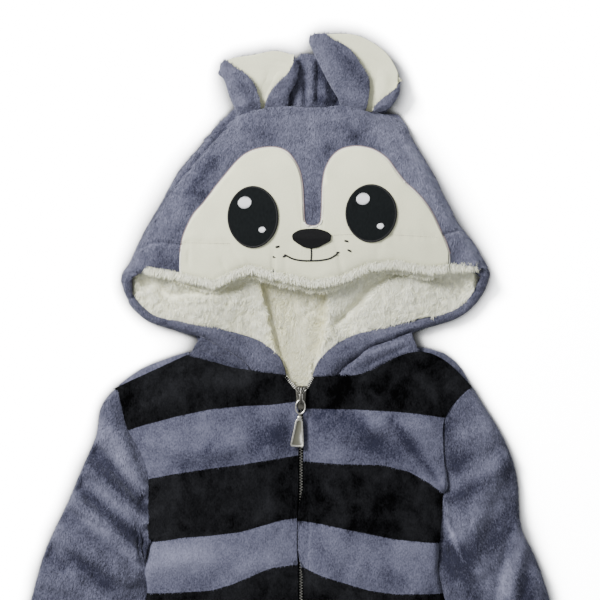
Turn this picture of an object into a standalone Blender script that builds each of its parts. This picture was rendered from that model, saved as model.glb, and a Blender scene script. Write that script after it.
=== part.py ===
"""A small child's hooded one-piece pyjama, laid flat on its back with the hood's face up.

Units in this file are millimetres; MM turns them into Blender's metres. X runs across the
garment, Y from the front neck point up to the head, and Z up from the surface it lies on.
Every cloth piece is a closed shell between an outer skin and an inner skin.
"""
import math

import bmesh
import bpy
import numpy as np
from mathutils import Vector

MM = 0.001

# Driving dimensions.
NECK_POINT = (8.0, 263.2)       # where the front neck point stands in the part's own frame
GAP = 0.15                      # each piece stays this far inside its seam line
BODY_WALL = 5.0                 # plush and its backing
HOOD_WALL = 4.0
BACK_TOP = 5.0                  # the back panel is a slab from the surface up to here
HOOD_BACK_TOP = 3.0
CROWN_BOTTOM = HOOD_BACK_TOP + 0.4
SEAM_Z = 12.0                   # outer skin of the front at its seams
SHOULDER_Z = 10.4
FLOOR_EDGE = 0.8                # lower edge of a rolled side
BODY_ROLL = 13.0                # how far in a rolled side of the body reaches its full height
HOOD_ROLL = 34.0
CROTCH_Y = -553.0
HEM_Y = -893.0
SLIDER_Y = -25.0
SLIDER_TOP = 17.4
TEETH_TOP = 10.2
BRIDGE_WIRE = 1.2               # radius of the slider's bridge, which the pull tab's eye hangs on
PULL_LEAN = math.radians(-8)
PIVOT = (0.0, SLIDER_Y - 2.5, SLIDER_TOP + 1.4)

# Colours of the blockout.
PLUSH = (0.125, 0.130, 0.215)
BLACK = (0.012, 0.012, 0.014)
SHERPA = (0.72, 0.70, 0.60)
VELOUR = (0.80, 0.77, 0.68)
METAL = (0.62, 0.62, 0.60)
TAPE = (0.02, 0.02, 0.022)

# Seam and edge lines, from the head down or from left to right.
ARMHOLE_LEFT = [(-203, -14), (-190, -63), (-177, -84), (-169, -108), (-167, -150), (-168, -186)]
ARMHOLE_RIGHT = [(188, -13), (170, -30), (157, -50), (157, -88), (157, -126), (152, -187)]
SIDE_LEFT = [(-168, -186), (-172, -206), (-173, -247), (-178, -330), (-181, -400), (-180, -553),
             (-170, -720), (-156, HEM_Y)]
SIDE_RIGHT = [(152, -187), (153, -220), (161, -248), (171, -330), (176, -400), (177, -553),
              (168, -720), (154, HEM_Y)]
INSEAM_LEFT = [(0, CROTCH_Y), (-17, -600), (-32, -700), (-42, HEM_Y)]
INSEAM_RIGHT = [(0, CROTCH_Y), (17, -600), (32, -700), (42, HEM_Y)]
NECK_LEFT = [(-203, -14), (-138, 16), (-125, 22), (-101, 16), (-82, 10), (-60, 5), (-17, 0)]
NECK_RIGHT = [(13, -2), (63, 0), (86, 10), (125, 26), (155, 18), (176, 0), (188, -13)]
SLEEVE_OUT_LEFT = [(-203, -14), (-216, -24), (-223, -43), (-225, -66), (-233, -82), (-239, -103),
                   (-250, -120), (-258, -143), (-273, -173), (-285, -202), (-294, -235), (-325, -352)]
SLEEVE_IN_LEFT = [(-168, -186), (-176, -206), (-178, -247), (-196, -295), (-238, -372)]
SLEEVE_OUT_RIGHT = [(188, -13), (204, -38), (218, -60), (231, -88), (238, -113), (240, -137),
                    (243, -170), (257, -198), (267, -225), (309, -360)]
SLEEVE_IN_RIGHT = [(152, -187), (158, -220), (167, -248), (184, -300), (222, -378)]

HOOD_SIDE_LEFT = [(-74, 283), (-81, 276), (-91, 268), (-103, 262), (-113, 254), (-128, 240),
                  (-144, 215), (-158, 193), (-175, 172), (-183, 150), (-194, 122), (-199, 113)]
HOOD_SIDE_RIGHT = [(89, 288), (107, 283), (120, 270), (129, 258), (145, 231), (156, 207),
                   (173, 179), (187, 157), (204, 131), (209, 123)]
TOP_SEAM = [(-74, 283), (-57, 289), (-38, 293), (-19, 295), (3, 294), (28, 294), (42, 296),
            (58, 294), (74, 289), (89, 288)]
MOUTH = [(-199, 113), (-169, 117), (-155, 114), (-132, 110), (-95, 101), (-74, 112), (-58, 118),
         (-30, 111), (14, 102), (43, 106), (73, 120), (102, 123), (141, 116), (161, 119),
         (190, 120), (209, 123)]
RIM_OUT_LEFT = [(-199, 111.4), (-199, 103), (-196, 89), (-189, 78), (-178, 66), (-166, 58), (-147, 52),
                (-128, 46), (-111, 43), (-95, 35), (-82, 28), (-74, 23), (-61, 14), (-56, 6)]
RIM_IN_LEFT = [(-172, 114.6), (-184, 109), (-187, 99), (-186, 88), (-178, 79), (-163, 66), (-147, 62),
               (-120, 57), (-95, 54), (-74, 47), (-47, 38), (-32, 28), (-24, 20), (-18, 9), (-17, 1)]
RIM_OUT_RIGHT = [(209, 120.8), (209, 114), (205, 101), (196, 84), (184, 70), (163, 59), (138, 52),
                 (127, 47), (113, 44), (86, 34), (73, 30), (63, 20), (47, 10), (40, 1)]
RIM_IN_RIGHT = [(186, 117.6), (195, 115.5), (197, 108), (191, 94), (182, 81), (163, 69), (138, 64),
                (114, 59), (87, 52), (75, 48), (58, 44), (46, 38), (33, 29), (23, 19), (16, 11), (13, -1)]
CROWN_EDGE = [(-112, 261), (-108, 266), (-99, 274), (-88, 284), (-76, 293), (-56, 305), (-34, 314),
              (-14, 324), (-8, 343), (3, 353), (13, 353), (24, 346), (36, 324), (54, 308), (78, 298),
              (92, 293), (95, 290)]
MASK_TOP = [(-131.5, 124), (-130.5, 136), (-127, 153), (-117, 174), (-105, 188), (-93, 204), (-81, 219),
            (-68, 234), (-57, 242.5), (-44, 247), (-29, 248), (-17, 244), (-9, 235), (-3, 223), (0, 208),
            (1, 190), (1.8, 172), (4, 165), (9, 162), (16, 162), (21.5, 165), (23.6, 172), (24.4, 190),
            (25.2, 210), (28, 225), (35, 238), (45, 246), (58, 249), (70, 248), (81, 244.5), (93, 236),
            (102, 224), (112, 211), (123, 201), (133, 190), (143, 175), (150, 160), (156, 148), (161, 134)]
THROAT = [(-17, 1), (-15, -14), (0, -24), (12, -14), (13, -1)]

# Folds of the cloth: x and y of both ends, half width and height.
BODY_FOLDS = [
    (-120, -20, -40, -60, 12, 1.5), (-150, -190, -60, -170, 14, 2.5), (-155, -225, -70, -260, 14, 2),
    (140, -185, 60, -160, 14, 2.5), (140, -230, 70, -250, 14, 2), (-120, -480, -30, -540, 16, 3),
    (120, -480, 30, -540, 16, 3), (-110, -640, -60, -700, 16, 2.5), (110, -660, 60, -720, 16, 2.5),
    (-140, -330, -50, -350, 16, 2), (140, -320, 60, -345, 16, 2)]
SLEEVE_FOLDS = [
    (-228, -80, -176, -140, 9, 4.5), (-245, -112, -182, -190, 9, 5), (-262, -160, -200, -225, 10, 4),
    (-280, -215, -205, -275, 10, 3.5), (-205, -50, -190, -110, 10, 3),
    (236, -160, 200, -245, 10, 5), (205, -70, 180, -150, 10, 4), (170, -120, 205, -200, 9, 4),
    (255, -210, 200, -275, 10, 4), (225, -110, 190, -180, 9, 3)]

# The hood's lower sides, between its turned edge and the neck seam.
COLLAR_LEFT = ([(-111, 42.6), (-95, 34.6), (-82, 27.6), (-74, 22.6), (-61.5, 13.4), (-57, 6.6)],
               [(-124.5, 22.8), (-101, 16.8), (-82, 10.8), (-58.4, 5.6)])
COLLAR_RIGHT = ([(125, 47), (113, 43.4), (86, 33.4), (73, 29.2), (63.6, 19.2), (48, 9.2), (42, 1.6)],
                [(124, 26.6), (110, 21), (86, 10.8), (63, 0.8), (43, 0.4)])

# The eyes and the nose on the face: centre, half width and half height.
EYE_LEFT = ((-52.4, 173), 27.6, 33.6)
EYE_RIGHT = ((76.5, 177), 28, 31.6)
NOSE = ((11.5, 149.5), 20.4, 10.6)

# Ears, seen from above: each is a leaf with both sides rolled over. Its silhouette is fold on the
# left, top, and back on the right; free and lip are the edges of the rolled sides, on top of it.
EARS = {
    "left": {
        "fold": [(-70, 285.8), (-74, 295), (-79, 306), (-83.5, 321), (-88, 331), (-89, 341)],
        "top": [(-89, 341), (-85, 345), (-73, 348.7), (-57, 351), (-45, 353.5), (-31, 356), (-20, 356.5),
                (-9, 350)],
        "back": [(-14, 296.4), (-12, 309), (-5, 322.5), (-3, 338), (-9, 350)],
        "free": [(-45, 293), (-45, 299), (-48, 309), (-52, 319.5), (-60, 329), (-71, 336.5), (-80, 344)],
        "lip": [(-40, 294), (-39, 299), (-34, 310), (-25, 321), (-15.5, 330), (-10, 340), (-9, 350)]},
    "right": {
        "fold": [(43, 297.4), (41.5, 302), (32, 318), (26, 329), (20, 341), (14.5, 352), (11.6, 361),
                 (12, 370.5)],
        "top": [(12, 370.5), (18.5, 376.5), (34, 375), (56, 374.5), (67, 371), (79, 365), (89.5, 356.5),
                (100, 347), (106.5, 336.5), (108, 324)],
        "back": [(85, 290.4), (96, 292.5), (103, 299.5), (108, 310), (108, 324)],
        "free": [(71, 292.4), (74, 305.5), (75, 318), (72.5, 329), (66, 339.5), (60, 349), (54, 356.5),
                 (46, 363), (35.5, 367.5), (27, 374.6)],
        "lip": [(78, 292), (86.5, 301), (97, 309), (106, 316.5), (108, 324)]}}
EAR_TURN = 5.2                  # radius of a rolled side, measured on the outside
EAR_ROWS = 10
EAR_ARC = (1.0, 0.66, 0.33, 0.0)                                # stops round a rolled side
EAR_LIFT = ((0.0, 0.3, 0.5, 1.0), (8.9, 10.4, 12.6, 12.6))      # height along the ear
EAR_LAYERS = (("outer", 0.0, 1.4, PLUSH), ("inner", 3.0, 3.7, VELOUR))

# The pull tab about its pivot: right half of its outline, and of the eye through it.
PULL_OUTLINE = [(4.5, 1.0), (6.2, -0.6), (6.6, -4), (6.6, -11), (5.4, -14.6), (3.0, -16.6), (3.2, -20.5),
                (4.6, -23.2), (8.6, -49.5), (7.4, -51.6)]
PULL_EYE = [(3.4, -0.8), (4.9, -2.2), (5.1, -4), (5.1, -10.6), (4.0, -13.2), (2.4, -14.4)]


def spline(points, stops):
    """Points at the given fractions of a smooth curve's length through the listed points."""
    pts = np.asarray(points, float)
    padded = np.vstack([2 * pts[0] - pts[1], pts, 2 * pts[-1] - pts[-2]])
    dense = []
    for k in range(len(pts) - 1):
        a, b, c, d = padded[k:k + 4]
        t = np.linspace(0, 1, 16, endpoint=False)[:, None]
        dense.append(0.5 * (2 * b + (c - a) * t + (2 * a - 5 * b + 4 * c - d) * t ** 2
                            + (3 * b - a - 3 * c + d) * t ** 3))
    dense = np.vstack(dense + [pts[-1:]])
    length = steps(dense)
    return np.column_stack([np.interp(stops, length, dense[:, axis]) for axis in (0, 1)])


def steps(points):
    """Each point's share of the length of a polyline."""
    run = np.concatenate([[0], np.cumsum(np.linalg.norm(np.diff(points, axis=0), axis=1))])
    return run / run[-1]


def even(count):
    return np.linspace(0, 1, count + 1)


def crowded(count, near_start, near_end):
    """Fractions from 0 to 1 with extra ones close to a rolled start or end."""
    first, last = (near[-1] if near else 0 for near in (near_start, near_end))
    middle = np.linspace(first, 1 - last, count + 1)
    start = [0] + list(near_start[:-1]) if near_start else []
    end = [1 - share for share in reversed(near_end[:-1])] + [1] if near_end else []
    return np.array(start + list(middle) + end)


ARMHOLE_STOPS = crowded(8, (0.02, 0.06), (0.06, 0.02)[::-1])
SIDE_STOPS = crowded(7, (0.012, 0.035, 0.07), (0.012, 0.035, 0.07))
LEG_ROWS = 20
RIM_STOPS = even(14)


def coons(top, bottom, left, right):
    """A grid of XY points between four edges that meet at their ends; rows run from top to bottom."""
    u = ((steps(top) + steps(bottom)) / 2)[None, :, None]
    v = ((steps(left) + steps(right)) / 2)[:, None, None]
    across = (1 - v) * top[None] + v * bottom[None]
    along = (1 - u) * left[:, None] + u * right[:, None]
    corners = ((1 - u) * (1 - v) * top[0] + u * (1 - v) * top[-1]
               + (1 - u) * v * bottom[0] + u * v * bottom[-1])
    return across + along - corners


def inset(grid, amount=GAP):
    """Pull a grid's border points inwards, so that neighbours keep a small gap at the seam."""
    result = grid.copy()
    rows, cols = grid.shape[:2]
    for j in range(rows):
        for i in range(cols):
            if 0 < j < rows - 1 and 0 < i < cols - 1:
                continue
            shift = np.zeros(2)
            if i in (0, cols - 1):
                along = grid[min(j + 1, rows - 1), i] - grid[max(j - 1, 0), i]
                shift += unit_to(along, grid[j, 1 if i == 0 else cols - 2] - grid[j, i])
            if j in (0, rows - 1):
                along = grid[j, min(i + 1, cols - 1)] - grid[j, max(i - 1, 0)]
                shift += unit_to(along, grid[1 if j == 0 else rows - 2, i] - grid[j, i])
            result[j, i] += amount * shift
    return result


def unit_to(along, towards):
    """The unit normal of a direction, on the side of another vector."""
    normal = np.array([-along[1], along[0]]) / (np.linalg.norm(along) + 1e-9)
    return normal if normal @ towards >= 0 else -normal


def nearest(grid, line):
    """Distance of every grid point to a polyline, and the unit direction away from it."""
    points = grid.reshape(-1, 1, 2)
    start, run = line[None, :-1], np.diff(line, axis=0)[None]
    share = np.clip(((points - start) * run).sum(2) / ((run ** 2).sum(2) + 1e-9), 0, 1)
    offset = points - (start + share[..., None] * run)
    distance = np.linalg.norm(offset, axis=2)
    best = distance.argmin(1)
    rows = np.arange(len(points))
    away = offset[rows, best] / (distance[rows, best][:, None] + 1e-9)
    return distance[rows, best].reshape(grid.shape[:2]), away.reshape(grid.shape)


def ridges(grid, folds):
    """Height that the listed folds add at each grid point."""
    total = np.zeros(grid.shape[:2])
    for x0, y0, x1, y1, width, height in folds:
        distance, _ = nearest(grid, np.array([(x0, y0), (x1, y1)], float))
        total += height * np.exp(-(distance / width) ** 2)
    return total


def rolled(grid, height, line, roll, edge_z, wall):
    """Outer and inner skins of cloth of full height that rolls down to edge_z along a line."""
    distance, away = nearest(grid, line)
    cosine = np.clip(1 - distance / roll, 0, 1)
    sine = np.sqrt(1 - cosine ** 2)
    rise = np.maximum(height - edge_z, 1.0)
    outer = np.dstack([grid, edge_z + rise * sine])
    normal = np.dstack([-away * (cosine / roll)[..., None], sine / rise])
    edge = distance < 1e-6
    if edge.any():
        normal[edge] = edge_normals(grid, edge)
    normal /= np.linalg.norm(normal, axis=2)[..., None]
    return outer, outer - wall * normal


def hold_seam(outer, inner, row):
    """Keep the inner skin of a border row in the plane of its seam."""
    along = np.gradient(outer[row, :, :2], axis=0)
    along /= np.linalg.norm(along, axis=1)[:, None]
    shift = ((inner[row] - outer[row])[:, :2] * along).sum(1)
    inner[row, :, :2] = outer[row, :, :2] + along * shift[:, None]


def edge_normals(grid, edge):
    """Outward normals, in the plane, of the points that lie on the rolled edge itself."""
    rows, cols = grid.shape[:2]
    result = np.zeros((rows, cols, 3))
    for j, i in zip(*np.nonzero(edge)):
        on_side = i in (0, cols - 1)
        if on_side:
            along = grid[min(j + 1, rows - 1), i] - grid[max(j - 1, 0), i]
            towards = grid[j, 1 if i == 0 else cols - 2] - grid[j, i]
        else:
            along = grid[j, min(i + 1, cols - 1)] - grid[j, max(i - 1, 0)]
            towards = grid[1 if j == 0 else rows - 2, i] - grid[j, i]
        result[j, i, :2] = -unit_to(along, towards)
    return result[edge]


def add_object(name, bm, colour, roughness, metallic=0.0, parent=None):
    """A named object in the garment's collection with a material of its own."""
    bmesh.ops.recalc_face_normals(bm, faces=bm.faces)
    if bm.calc_volume(signed=True) < 0:
        bmesh.ops.reverse_faces(bm, faces=bm.faces[:])
    mesh = bpy.data.meshes.new(name)
    bm.to_mesh(mesh)
    bm.free()
    mesh.shade_smooth()
    mesh.set_sharp_from_angle(angle=math.radians(50))
    return link_object(name, mesh, colour, roughness, metallic, parent)


def link_object(name, mesh, colour, roughness, metallic=0.0, parent=None):
    obj = bpy.data.objects.new(name, mesh)
    bpy.data.collections["onesie_pajama"].objects.link(obj)
    obj.parent = parent or bpy.data.objects["garment"]
    material = bpy.data.materials.new(name)
    material.use_nodes = True
    shader = material.node_tree.nodes["Principled BSDF"]
    shader.inputs["Base Color"].default_value = (*colour, 1)
    shader.inputs["Roughness"].default_value = roughness
    shader.inputs["Metallic"].default_value = metallic
    mesh.materials.append(material)
    return obj


def shell(name, outer, inner, colour, roughness=0.95, ring=False):
    """A closed piece of cloth between two grids of points; a ring's first and last columns meet."""
    rows, cols = outer.shape[:2]
    bm = bmesh.new()
    cell = bm.verts.layers.int.new("cell")
    made = bmesh.ops.create_grid(bm, x_segments=cols - 1, y_segments=rows - 1, size=0.5)
    for index, vert in enumerate(made["verts"]):
        vert[cell] = index
        vert.co = Vector(outer[index // cols, index % cols]) * MM
    if ring:
        bmesh.ops.remove_doubles(bm, verts=bm.verts[:], dist=0.01 * MM)
    back = bmesh.ops.extrude_face_region(bm, geom=bm.faces[:])
    for vert in back["geom"]:
        if isinstance(vert, bmesh.types.BMVert):
            index = vert[cell]
            vert.co = Vector(inner[index // cols, index % cols]) * MM
    return add_object(name, bm, colour, roughness)


def slab(name, outline, low, high, colour, roughness=0.95):
    """A flat piece cut to an outline, between two heights."""
    curve = bpy.data.curves.new(name, "CURVE")
    curve.dimensions = "2D"
    curve.fill_mode = "BOTH"
    curve.extrude = (high - low) / 2 * MM
    path = curve.splines.new("POLY")
    path.points.add(len(outline) - 1)
    for point, (x, y) in zip(path.points, outline):
        point.co = (x * MM, y * MM, 0, 1)
    path.use_cyclic_u = True
    return place_curve(name, curve, (low + high) / 2, colour, roughness)


def place_curve(name, curve, height, colour, roughness, metallic=0.0):
    """Turn a curve into a welded mesh piece at a height."""
    guide = bpy.data.objects.new(name + "_curve", curve)
    bpy.context.scene.collection.objects.link(guide)
    bpy.context.view_layer.update()
    mesh = bpy.data.meshes.new_from_object(guide.evaluated_get(bpy.context.evaluated_depsgraph_get()))
    bpy.data.objects.remove(guide)
    bm = bmesh.new()
    bm.from_mesh(mesh)
    bmesh.ops.remove_doubles(bm, verts=bm.verts[:], dist=0.01 * MM)
    obj = add_object(name, bm, colour, roughness, metallic)
    obj.location.z = height * MM
    return obj


def offset_outline(outline, amount):
    """An outline moved inwards by an amount; the outline runs clockwise or anticlockwise."""
    pts = np.asarray(outline, float)
    before, after = np.roll(pts, 1, axis=0), np.roll(pts, -1, axis=0)
    tangent = after - before
    normal = np.column_stack([-tangent[:, 1], tangent[:, 0]])
    normal /= np.linalg.norm(normal, axis=1)[:, None]
    area = (pts[:, 0] * after[:, 1] - after[:, 0] * pts[:, 1]).sum()
    return pts + normal * amount * (1 if area > 0 else -1)


def front_height(grid, centre):
    """Height of the front's outer skin: a low dome over each half, with the folds on it."""
    dome = 4.5 * np.clip(1 - ((grid[..., 0] - centre) / 95) ** 2, 0, 1)
    return SEAM_Z + dome + ridges(grid, BODY_FOLDS) * np.clip(dome / 3, 0, 1)


def make_front(side):
    """One front, from the neck to the ankle, with its half of the zip opening."""
    left_side = side == "left"
    neck, armhole, outside, inseam = ((NECK_LEFT, ARMHOLE_LEFT, SIDE_LEFT, INSEAM_LEFT) if left_side
                                      else (NECK_RIGHT, ARMHOLE_RIGHT, SIDE_RIGHT, INSEAM_RIGHT))
    sign = -1 if left_side else 1
    zip_edge = 2.8 * sign
    outer_edge = np.vstack([spline(armhole, ARMHOLE_STOPS), spline(outside, even(LEG_ROWS))[1:]])
    neck_point = neck[-1] if left_side else neck[0]
    zip_line = spline([(zip_edge, -16), (zip_edge, -186)], even(len(ARMHOLE_STOPS) - 3))
    v_edge = np.array([neck_point, (np.array(neck_point) + zip_line[0]) / 2])
    torso_rows = sum(1 for y in outer_edge[len(ARMHOLE_STOPS):, 1] if y > CROTCH_Y - 5)
    lower_zip = spline([zip_line[-1], (zip_edge, CROTCH_Y)], even(torso_rows))[1:]
    leg_inside = spline([(zip_edge, CROTCH_Y)] + inseam[1:], even(LEG_ROWS - torso_rows))[1:]
    inner_edge = np.vstack([v_edge, zip_line, lower_zip, leg_inside])
    stops = SIDE_STOPS
    top = spline(neck, stops)
    hem = spline([outside[-1], inseam[-1]], stops)
    if not left_side:
        hem = hem[::-1]
        grid = coons(top, hem, inner_edge, outer_edge)
    else:
        grid = coons(top, hem, outer_edge, inner_edge)
    grid = inset(grid)
    height = front_height(grid, sign * 88)
    shoulder = np.array(NECK_LEFT[:3] if left_side else NECK_RIGHT[-3:], float)
    height = np.minimum(height, SHOULDER_Z + nearest(grid, shoulder)[0] / 9)
    edge_line = outer_edge[len(ARMHOLE_STOPS) - 1:]
    inseam_line = inner_edge[len(ARMHOLE_STOPS) - 1 + torso_rows:]
    side_skins = rolled(grid, height, edge_line, BODY_ROLL, FLOOR_EDGE, BODY_WALL)
    leg_skins = rolled(grid, height, inseam_line, BODY_ROLL, FLOOR_EDGE, BODY_WALL)
    near_inseam = (nearest(grid, inseam_line)[0] < nearest(grid, edge_line)[0])[..., None]
    outer = np.where(near_inseam, leg_skins[0], side_skins[0])
    inner = np.where(near_inseam, leg_skins[1], side_skins[1])
    shell("front_" + side, outer, inner, PLUSH)


def make_back():
    """The back, cut in one piece with the backs of both legs, flat on the surface."""
    inward = BODY_WALL + 3.6
    left_side = spline(SIDE_LEFT, even(16)) + (inward, 0)
    right_side = spline(SIDE_RIGHT, even(16)) - (inward, 0)
    left_inseam = spline([(-2.8, CROTCH_Y)] + INSEAM_LEFT[1:], even(8))[1:] - (inward + 3, 0)
    right_inseam = spline([(2.8, CROTCH_Y)] + INSEAM_RIGHT[1:], even(8))[1:] + (inward + 3, 0)
    crotch = [(17, CROTCH_Y), (0, CROTCH_Y + 34), (-17, CROTCH_Y)]
    left_armhole = spline(ARMHOLE_LEFT, ARMHOLE_STOPS)[:-2] + (0.8, 0)
    right_armhole = spline(ARMHOLE_RIGHT, ARMHOLE_STOPS)[:-2] - (0.8, 0)
    left_side[:, 1] -= 0.3
    shoulder_left = [(-200.5, -11), (-176, 6), (-152, 16), (-124, 25), (-120, -31)]
    shoulder_right = [(120, -31), (126, 30), (158, 24), (177, 5), (185.6, -10)]
    outline = np.vstack([shoulder_left, shoulder_right, right_armhole[1:], right_side,
                         right_inseam[::-1], crotch, left_inseam, left_side[::-1],
                         left_armhole[1:][::-1]])
    slab("back", outline, 0, BACK_TOP, PLUSH)


def make_sleeve(side):
    """A sleeve cut in one piece, closed at its underarm seam and lying flat."""
    left_side = side == "left"
    armhole, outside, inside = ((ARMHOLE_LEFT, SLEEVE_OUT_LEFT, SLEEVE_IN_LEFT) if left_side
                                else (ARMHOLE_RIGHT, SLEEVE_OUT_RIGHT, SLEEVE_IN_RIGHT))
    rows = 13
    top = spline(armhole, ARMHOLE_STOPS)
    out_edge = spline(outside, even(rows))
    in_edge = spline(inside, even(rows))
    cuff = spline([outside[-1], inside[-1]], ARMHOLE_STOPS)
    grid = inset(coons(top, cuff, out_edge, in_edge))
    out_distance, out_away = nearest(grid, out_edge)
    in_distance, in_away = nearest(grid, in_edge)
    closer = out_distance < in_distance
    distance = np.where(closer, out_distance, in_distance)
    away = np.where(closer[..., None], out_away, in_away)
    dome = 5 * (1 - np.exp(-(distance / 22) ** 2)) + ridges(grid, SLEEVE_FOLDS)
    seam = nearest(grid, top)[0]
    height = SEAM_Z + dome * (1 - np.exp(-(seam / 14) ** 2))
    roll = 9.0
    cosine = np.clip(1 - distance / roll, 0, 1)
    cosine[:, 0] = cosine[:, -1] = 1
    away[:, 0] = away[:, 1]
    away[:, -1] = away[:, -2]
    sine = np.sqrt(1 - cosine ** 2)
    middle = SEAM_Z / 2
    upper, upper_in = ring_half(grid, away, cosine, sine, middle, height - middle, roll, 1)
    lower, lower_in = ring_half(grid, away, cosine, sine, middle, np.full_like(height, middle), roll, -1)
    hold_seam(upper, upper_in, 0)
    hold_seam(lower, lower_in, 0)
    outer = np.concatenate([upper, lower[:, ::-1][:, 1:]], axis=1)
    inner = np.concatenate([upper_in, lower_in[:, ::-1][:, 1:]], axis=1)
    shell("sleeve_" + side, outer, inner, PLUSH, ring=True)


def ring_half(grid, away, cosine, sine, middle, rise, roll, direction):
    """The upper or lower skin of a flattened tube, and the skin one wall inside it."""
    outer = np.dstack([grid, middle + direction * rise * sine])
    normal = np.dstack([-away * (cosine / roll)[..., None], direction * sine / rise])
    normal /= np.linalg.norm(normal, axis=2)[..., None]
    return outer, outer - BODY_WALL * normal


def face_height(grid):
    """Outer skin of the hood's upper layer before its sides roll down."""
    x, y = grid[..., 0], grid[..., 1]
    along = np.interp(y, [95, 120, 150, 185, 230, 270, 296], [31, 35, 40, 41, 37, 28, 20])
    return along - 10 * np.clip((np.abs(x - 5) - 60) / 130, 0, 1) ** 1.5


def face_skins(grid, wall, lift=0.0):
    """Skins of a layer that follows the hood's upper skin, raised by lift."""
    sides = [spline(HOOD_SIDE_LEFT, even(30)), spline(HOOD_SIDE_RIGHT, even(30))]
    height = face_height(grid)
    edge_z = np.interp(grid[..., 1], [240, 272], [FLOOR_EDGE, HOOD_BACK_TOP + 1])
    on_left = grid[..., 0] < 5
    raised = [rolled(grid, height, line, HOOD_ROLL, edge_z, -lift)[1] for line in sides]
    low = [rolled(grid, height, line, HOOD_ROLL, edge_z, wall - lift)[1] for line in sides]
    outer = np.where(on_left[..., None], raised[0], raised[1])
    inner = np.where(on_left[..., None], low[0], low[1])
    return outer, inner


def make_hood_face():
    """The hood's upper layer, from the top seam down to the edge of the opening."""
    sides = crowded(14, (0.02, 0.06, 0.12), (0.02, 0.06, 0.12))
    grid = inset(coons(spline(TOP_SEAM, sides), spline(MOUTH, sides),
                       spline(HOOD_SIDE_LEFT, even(12)), spline(HOOD_SIDE_RIGHT, even(12))))
    outer, inner = face_skins(grid, HOOD_WALL)
    hold_seam(outer, inner, 0)
    hold_seam(outer, inner, -1)
    shell("hood_face", outer, inner, PLUSH)


def make_facing():
    """The lining's edge, which hangs a little below the edge of the upper layer."""
    rim = spline(MOUTH, np.linspace(0.13, 0.88, 19))
    rim[[0, -1], 1] -= 1
    low = rim + (0, -9)
    low[[0, -1]] = rim[[0, -1]] + (0, -4)
    high = rim + (0, 22)
    grid = coons(high, low, spline([high[0], low[0]], even(3)), spline([high[-1], low[-1]], even(3)))
    outer, inner = face_skins(grid, HOOD_WALL, lift=-(HOOD_WALL + 1.2))
    shell("hood_facing", outer, inner, SHERPA)


def make_mask():
    """The two-lobed face, sewn flat on the hood: columns from the opening up to its top edge."""
    top = spline(MASK_TOP, even(54))
    low = spline(MOUTH, even(60))
    bottom = np.column_stack([top[:, 0], np.interp(top[:, 0], low[:, 0], low[:, 1]) + 1])
    share = np.array([0, 0.22, 0.45, 0.65, 0.82, 0.94, 1])[::-1, None, None]
    grid = bottom + (top - bottom) * share
    outer, inner = face_skins(grid, 1.2, lift=2.3)
    shell("hood_mask", outer, inner, VELOUR, 0.85)


def make_face_patch(name, centre, half_width, half_height, colour, roughness, taper=0.0):
    """An oval patch on the mask; taper narrows its lower end."""
    side = np.linspace(-1, 1, 7)
    u, v = np.meshgrid(side, side[::-1])
    x = u * np.sqrt(1 - v ** 2 / 2)
    y = v * np.sqrt(1 - u ** 2 / 2)
    grid = np.dstack([centre[0] + half_width * x * (1 + taper * y), centre[1] + half_height * y])
    outer, inner = face_skins(grid, 1.0, lift=3.8)
    shell(name, outer, inner, colour, roughness)


def make_crown():
    """The gathered back of the hood that shows behind the top seam."""
    seam = spline(TOP_SEAM, crowded(14, (0.02, 0.06, 0.12), (0.02, 0.06, 0.12)))
    left_bit = spline([(-109, 258.5), (-103, 262), (-91, 268), (-81, 276)], even(3))
    right_bit = np.array([(94.0, 287.2)])
    seam[0] += (-1.2, 1.2)
    lower = np.vstack([left_bit + (-1.8, 1.9), seam, right_bit + (0.4, 2.0)])
    upper = spline(CROWN_EDGE, even(len(lower) - 1))
    upper[0] = lower[0] + (-0.8, 3)
    upper[-1] = lower[-1] + (1.5, 3)
    grid = inset(coons(upper, lower, spline([upper[0], lower[0]], even(5)),
                       spline([upper[-1], lower[-1]], even(5))), 0.5)
    hump = 5 * np.exp(-((grid[..., 0] - 7) / 18) ** 2)
    gathers = 1.2 * np.cos(grid[..., 0] / 3.4) * np.exp(-((grid[..., 0] - 7) / 20) ** 2)
    height = 7 + hump + gathers
    outer, _ = rolled(grid, height, upper, 12.0, CROWN_BOTTOM + 1.2, HOOD_WALL)
    inner = np.dstack([grid, np.full_like(height, CROWN_BOTTOM)])
    shell("hood_crown", outer, inner, PLUSH)


def make_rim(side):
    """The hood's turned edge: a soft roll between the lining and the outside."""
    outside, inside = ((RIM_OUT_LEFT, RIM_IN_LEFT) if side == "left" else (RIM_OUT_RIGHT, RIM_IN_RIGHT))
    out_edge, in_edge = spline(outside, RIM_STOPS), spline(inside, RIM_STOPS)
    across = np.array([0, 0.12, 0.4, 0.72, 1])
    grid = out_edge[:, None] * (1 - across)[None, :, None] + in_edge[:, None] * across[None, :, None]
    grid = inset(grid)
    run = RIM_STOPS[:, None]
    free = np.clip((0.62 - run) / 0.1, 0, 1)
    low = FLOOR_EDGE * free + 9 * (1 - free)
    corner = np.exp(-(run / 0.1) ** 2)
    peak = 14 + 11 * corner
    lip = 10.5 + 12 * corner
    rise = np.sin(np.clip(across / 0.55, 0, 1) * math.pi / 2)
    fall = np.sin(np.clip((across - 0.55) / 0.45, 0, 1) * math.pi / 2) ** 2
    height = low + (peak - low) * rise - (peak - lip) * fall
    outer = np.dstack([grid, height])
    inner = np.dstack([grid, np.full_like(height, HOOD_BACK_TOP + 0.4)])
    inward = grid[:, 1] - grid[:, 0]
    inward /= np.linalg.norm(inward, axis=1)[:, None]
    inner[:, 0, :2] += inward * HOOD_WALL * free
    inner[:, 0, 2] = np.minimum(inner[:, 0, 2], outer[:, 0, 2])
    shell("hood_rim_" + side, outer, inner, PLUSH)


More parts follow.
